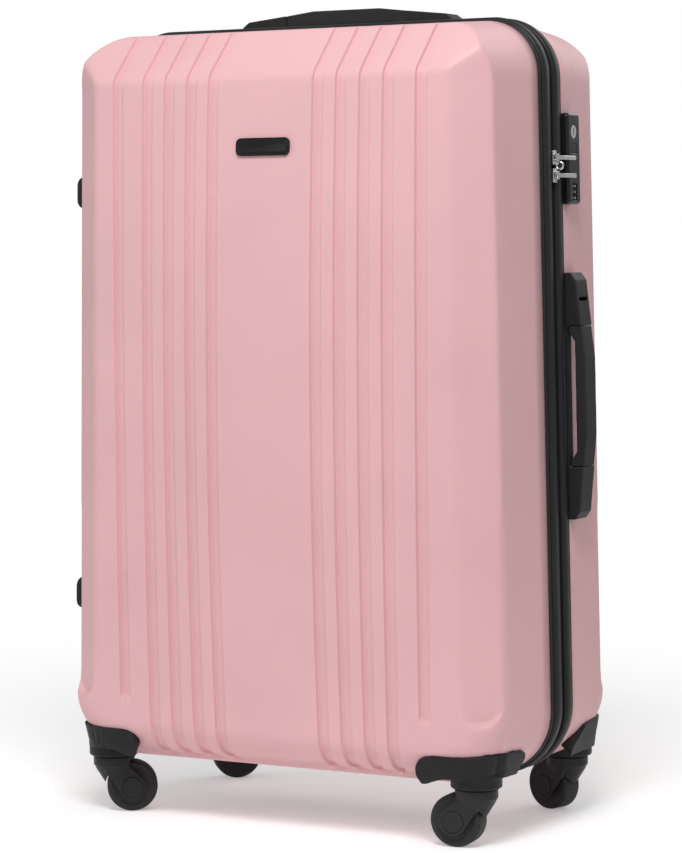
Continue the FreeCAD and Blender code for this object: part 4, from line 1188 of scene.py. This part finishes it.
# ---- Lock and zip pulls --------------------------------------------------------------
# The recessed combination lock is a glossy black case with three number dials, a key
# cylinder and a release button. Two die-cast zip sliders lead their pulls into it.
lock_gloss = moulded("lock_gloss", (0.010, 0.0097, 0.0102), 0.1, 0.16, 2200.0, 0.000006,
                     shine=0.5)
dial_plastic = moulded("dial_plastic", (0.014, 0.014, 0.0145), 0.1, 0.35, 2200.0, 0.00001)
number_paint = moulded("number_paint", (0.80, 0.79, 0.77), 0.05, 0.5, 2200.0, 0.00001)
cast_chrome = moulded("cast_chrome", (0.80, 0.77, 0.77), 0.06, 0.2, 2200.0, 0.000008, 1.0)
softened("lock_body", "lock_case", "rear_case", 0.00035, 5, lock_gloss)
softened("lock_button", "lock_release_button", "button", 0.00025, 4, dial_plastic)
softened("key_cylinder", "lock_key_cylinder", "key", 0.0002, 3, plain_steel)
dress(bpy.data.objects["lock_spindle"], plain_steel)
for number in (1, 2, 3):
    node = "lock_dial_%d" % number
    body = "dial_%d" % number
    softened(node, "number_dial_%d" % number, body, 0.0002, 3, dial_plastic)
    low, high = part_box(node)
    middle = (low + high) / 2
    radius = (high.x - low.x) / 2
    digits = []
    for value in range(10):
        bpy.ops.object.text_add(location=(0, 0, 0))
        letter = bpy.context.object
        letter.data.body = str((value + 3 * number) % 10)
        letter.data.align_x = "CENTER"
        letter.data.align_y = "CENTER"
        letter.data.size = 0.0031
        letter.data.extrude = 0.00008
        letter.data.resolution_u = 2
        bpy.ops.object.convert(target="MESH")
        digit = bpy.context.object
        angle = math.tau * value / 10
        digit.data.transform(Matrix.Translation((middle.x, middle.y, middle.z))
                             @ Matrix.Rotation(angle, 4, "Z")
                             @ Matrix.Translation((radius + 0.00001, 0, 0))
                             @ Matrix(((0, 0, 1, 0), (0, 1, 0, 0), (-1, 0, 0, 0), (0, 0, 0, 1))))
        digits.append(digit)
    deselect_all()
    for digit in digits:
        digit.select_set(True)
    bpy.context.view_layer.objects.active = digits[0]
    bpy.ops.object.join()
    numbers = bpy.context.object
    numbers.name = "dial_numbers_%d" % number
    numbers.location = (0, 0, 0)
    fit(numbers, number_paint, body)
for end in ("upper", "lower"):
    softened("zip_slider_" + end, "slider_body_" + end, "slider_" + end, 0.0002, 3,
             cast_chrome)
    softened("zip_pull_" + end, "slider_pull_" + end, "pull_" + end, 0.0002, 3,
             cast_chrome)


# ---- Carry handles -------------------------------------------------------------------
# Each handle is a soft-touch moulded grip between two end blocks, screwed to the rear half
# through a base plate, one on the right side and one on top.
handle_plastic = moulded("handle_plastic", (0.021, 0.0205, 0.0214), 0.08, 0.47, 1300.0, 0.00006)
grip_plastic = moulded("grip_plastic", (0.024, 0.0233, 0.0243), 0.08, 0.52, 1500.0, 0.00007)
slot_from_edge = 0.0095         # the base is cut away behind the grip
slot_width = 0.024
slot_length = 0.126
slot_height = 0.06
grip_deeper = 0.0034            # the top grip is thicker than the side one
for side, slot_size in (("side", (slot_height, slot_width, slot_length)),
                        ("top", (slot_length, slot_width, slot_height))):
    base = softened(side + "_handle_base", side + "_handle_ends", "rear_case",
                    0.0006, 7, handle_plastic)
    grip = softened(side + "_handle_grip", side + "_carry_grip", side + "_grip",
                    0.0006, 7, grip_plastic)
    low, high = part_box(side + "_handle_base")
    middle = (low + high) / 2
    slot_middle = (middle.x, low.y + slot_from_edge + slot_width / 2, middle.z)
    bpy.ops.mesh.primitive_cube_add(size=1.0, location=slot_middle)
    hand_slot = bpy.context.object
    hand_slot.scale = slot_size
    bpy.ops.object.transform_apply(location=True, rotation=True, scale=True)
    deselect_all()
    bpy.context.view_layer.objects.active = base
    cut = base.modifiers.new("slot", "BOOLEAN")
    cut.object = hand_slot
    bpy.ops.object.modifier_apply(modifier="slot")
    bpy.data.objects.remove(hand_slot)
    if side == "top":
        for v in grip.data.vertices:
            inward = 1 - float(smooth_step(0.050, 0.064, abs(v.co.x - middle.x)))
            v.co.z -= grip_deeper * inward * (1 - float(smooth_step(0.7655, 0.7735, v.co.z)))


# ---- Trolley -------------------------------------------------------------------------
# Drawn aluminium tubes telescope in a housing set in the top of the rear half. The grip bar
# has a button that frees the tubes, which lock in the housing and in the foot.
tube_aluminium = moulded("tube_aluminium", (0.62, 0.62, 0.64), 0.04, 0.3, 1500.0, 0.00001, 1.0)
softened("trolley_bezel", "trolley_housing", "rear_case", 0.0006, 5,
         handle_plastic)
softened("trolley_grip", "trolley_grip_bar", "trolley_inner", 0.0006, 6,
         grip_plastic)
softened("trolley_button", "trolley_release_button", "trolley_release", 0.0004, 5,
         dial_plastic)
softened("trolley_foot", "trolley_tube_foot", "rear_case", 0.0008, 3,
         handle_plastic)
for node in ("trolley_outer_tubes", "trolley_middle_tubes", "trolley_inner_tubes"):
    dress(bpy.data.objects[node], tube_aluminium)
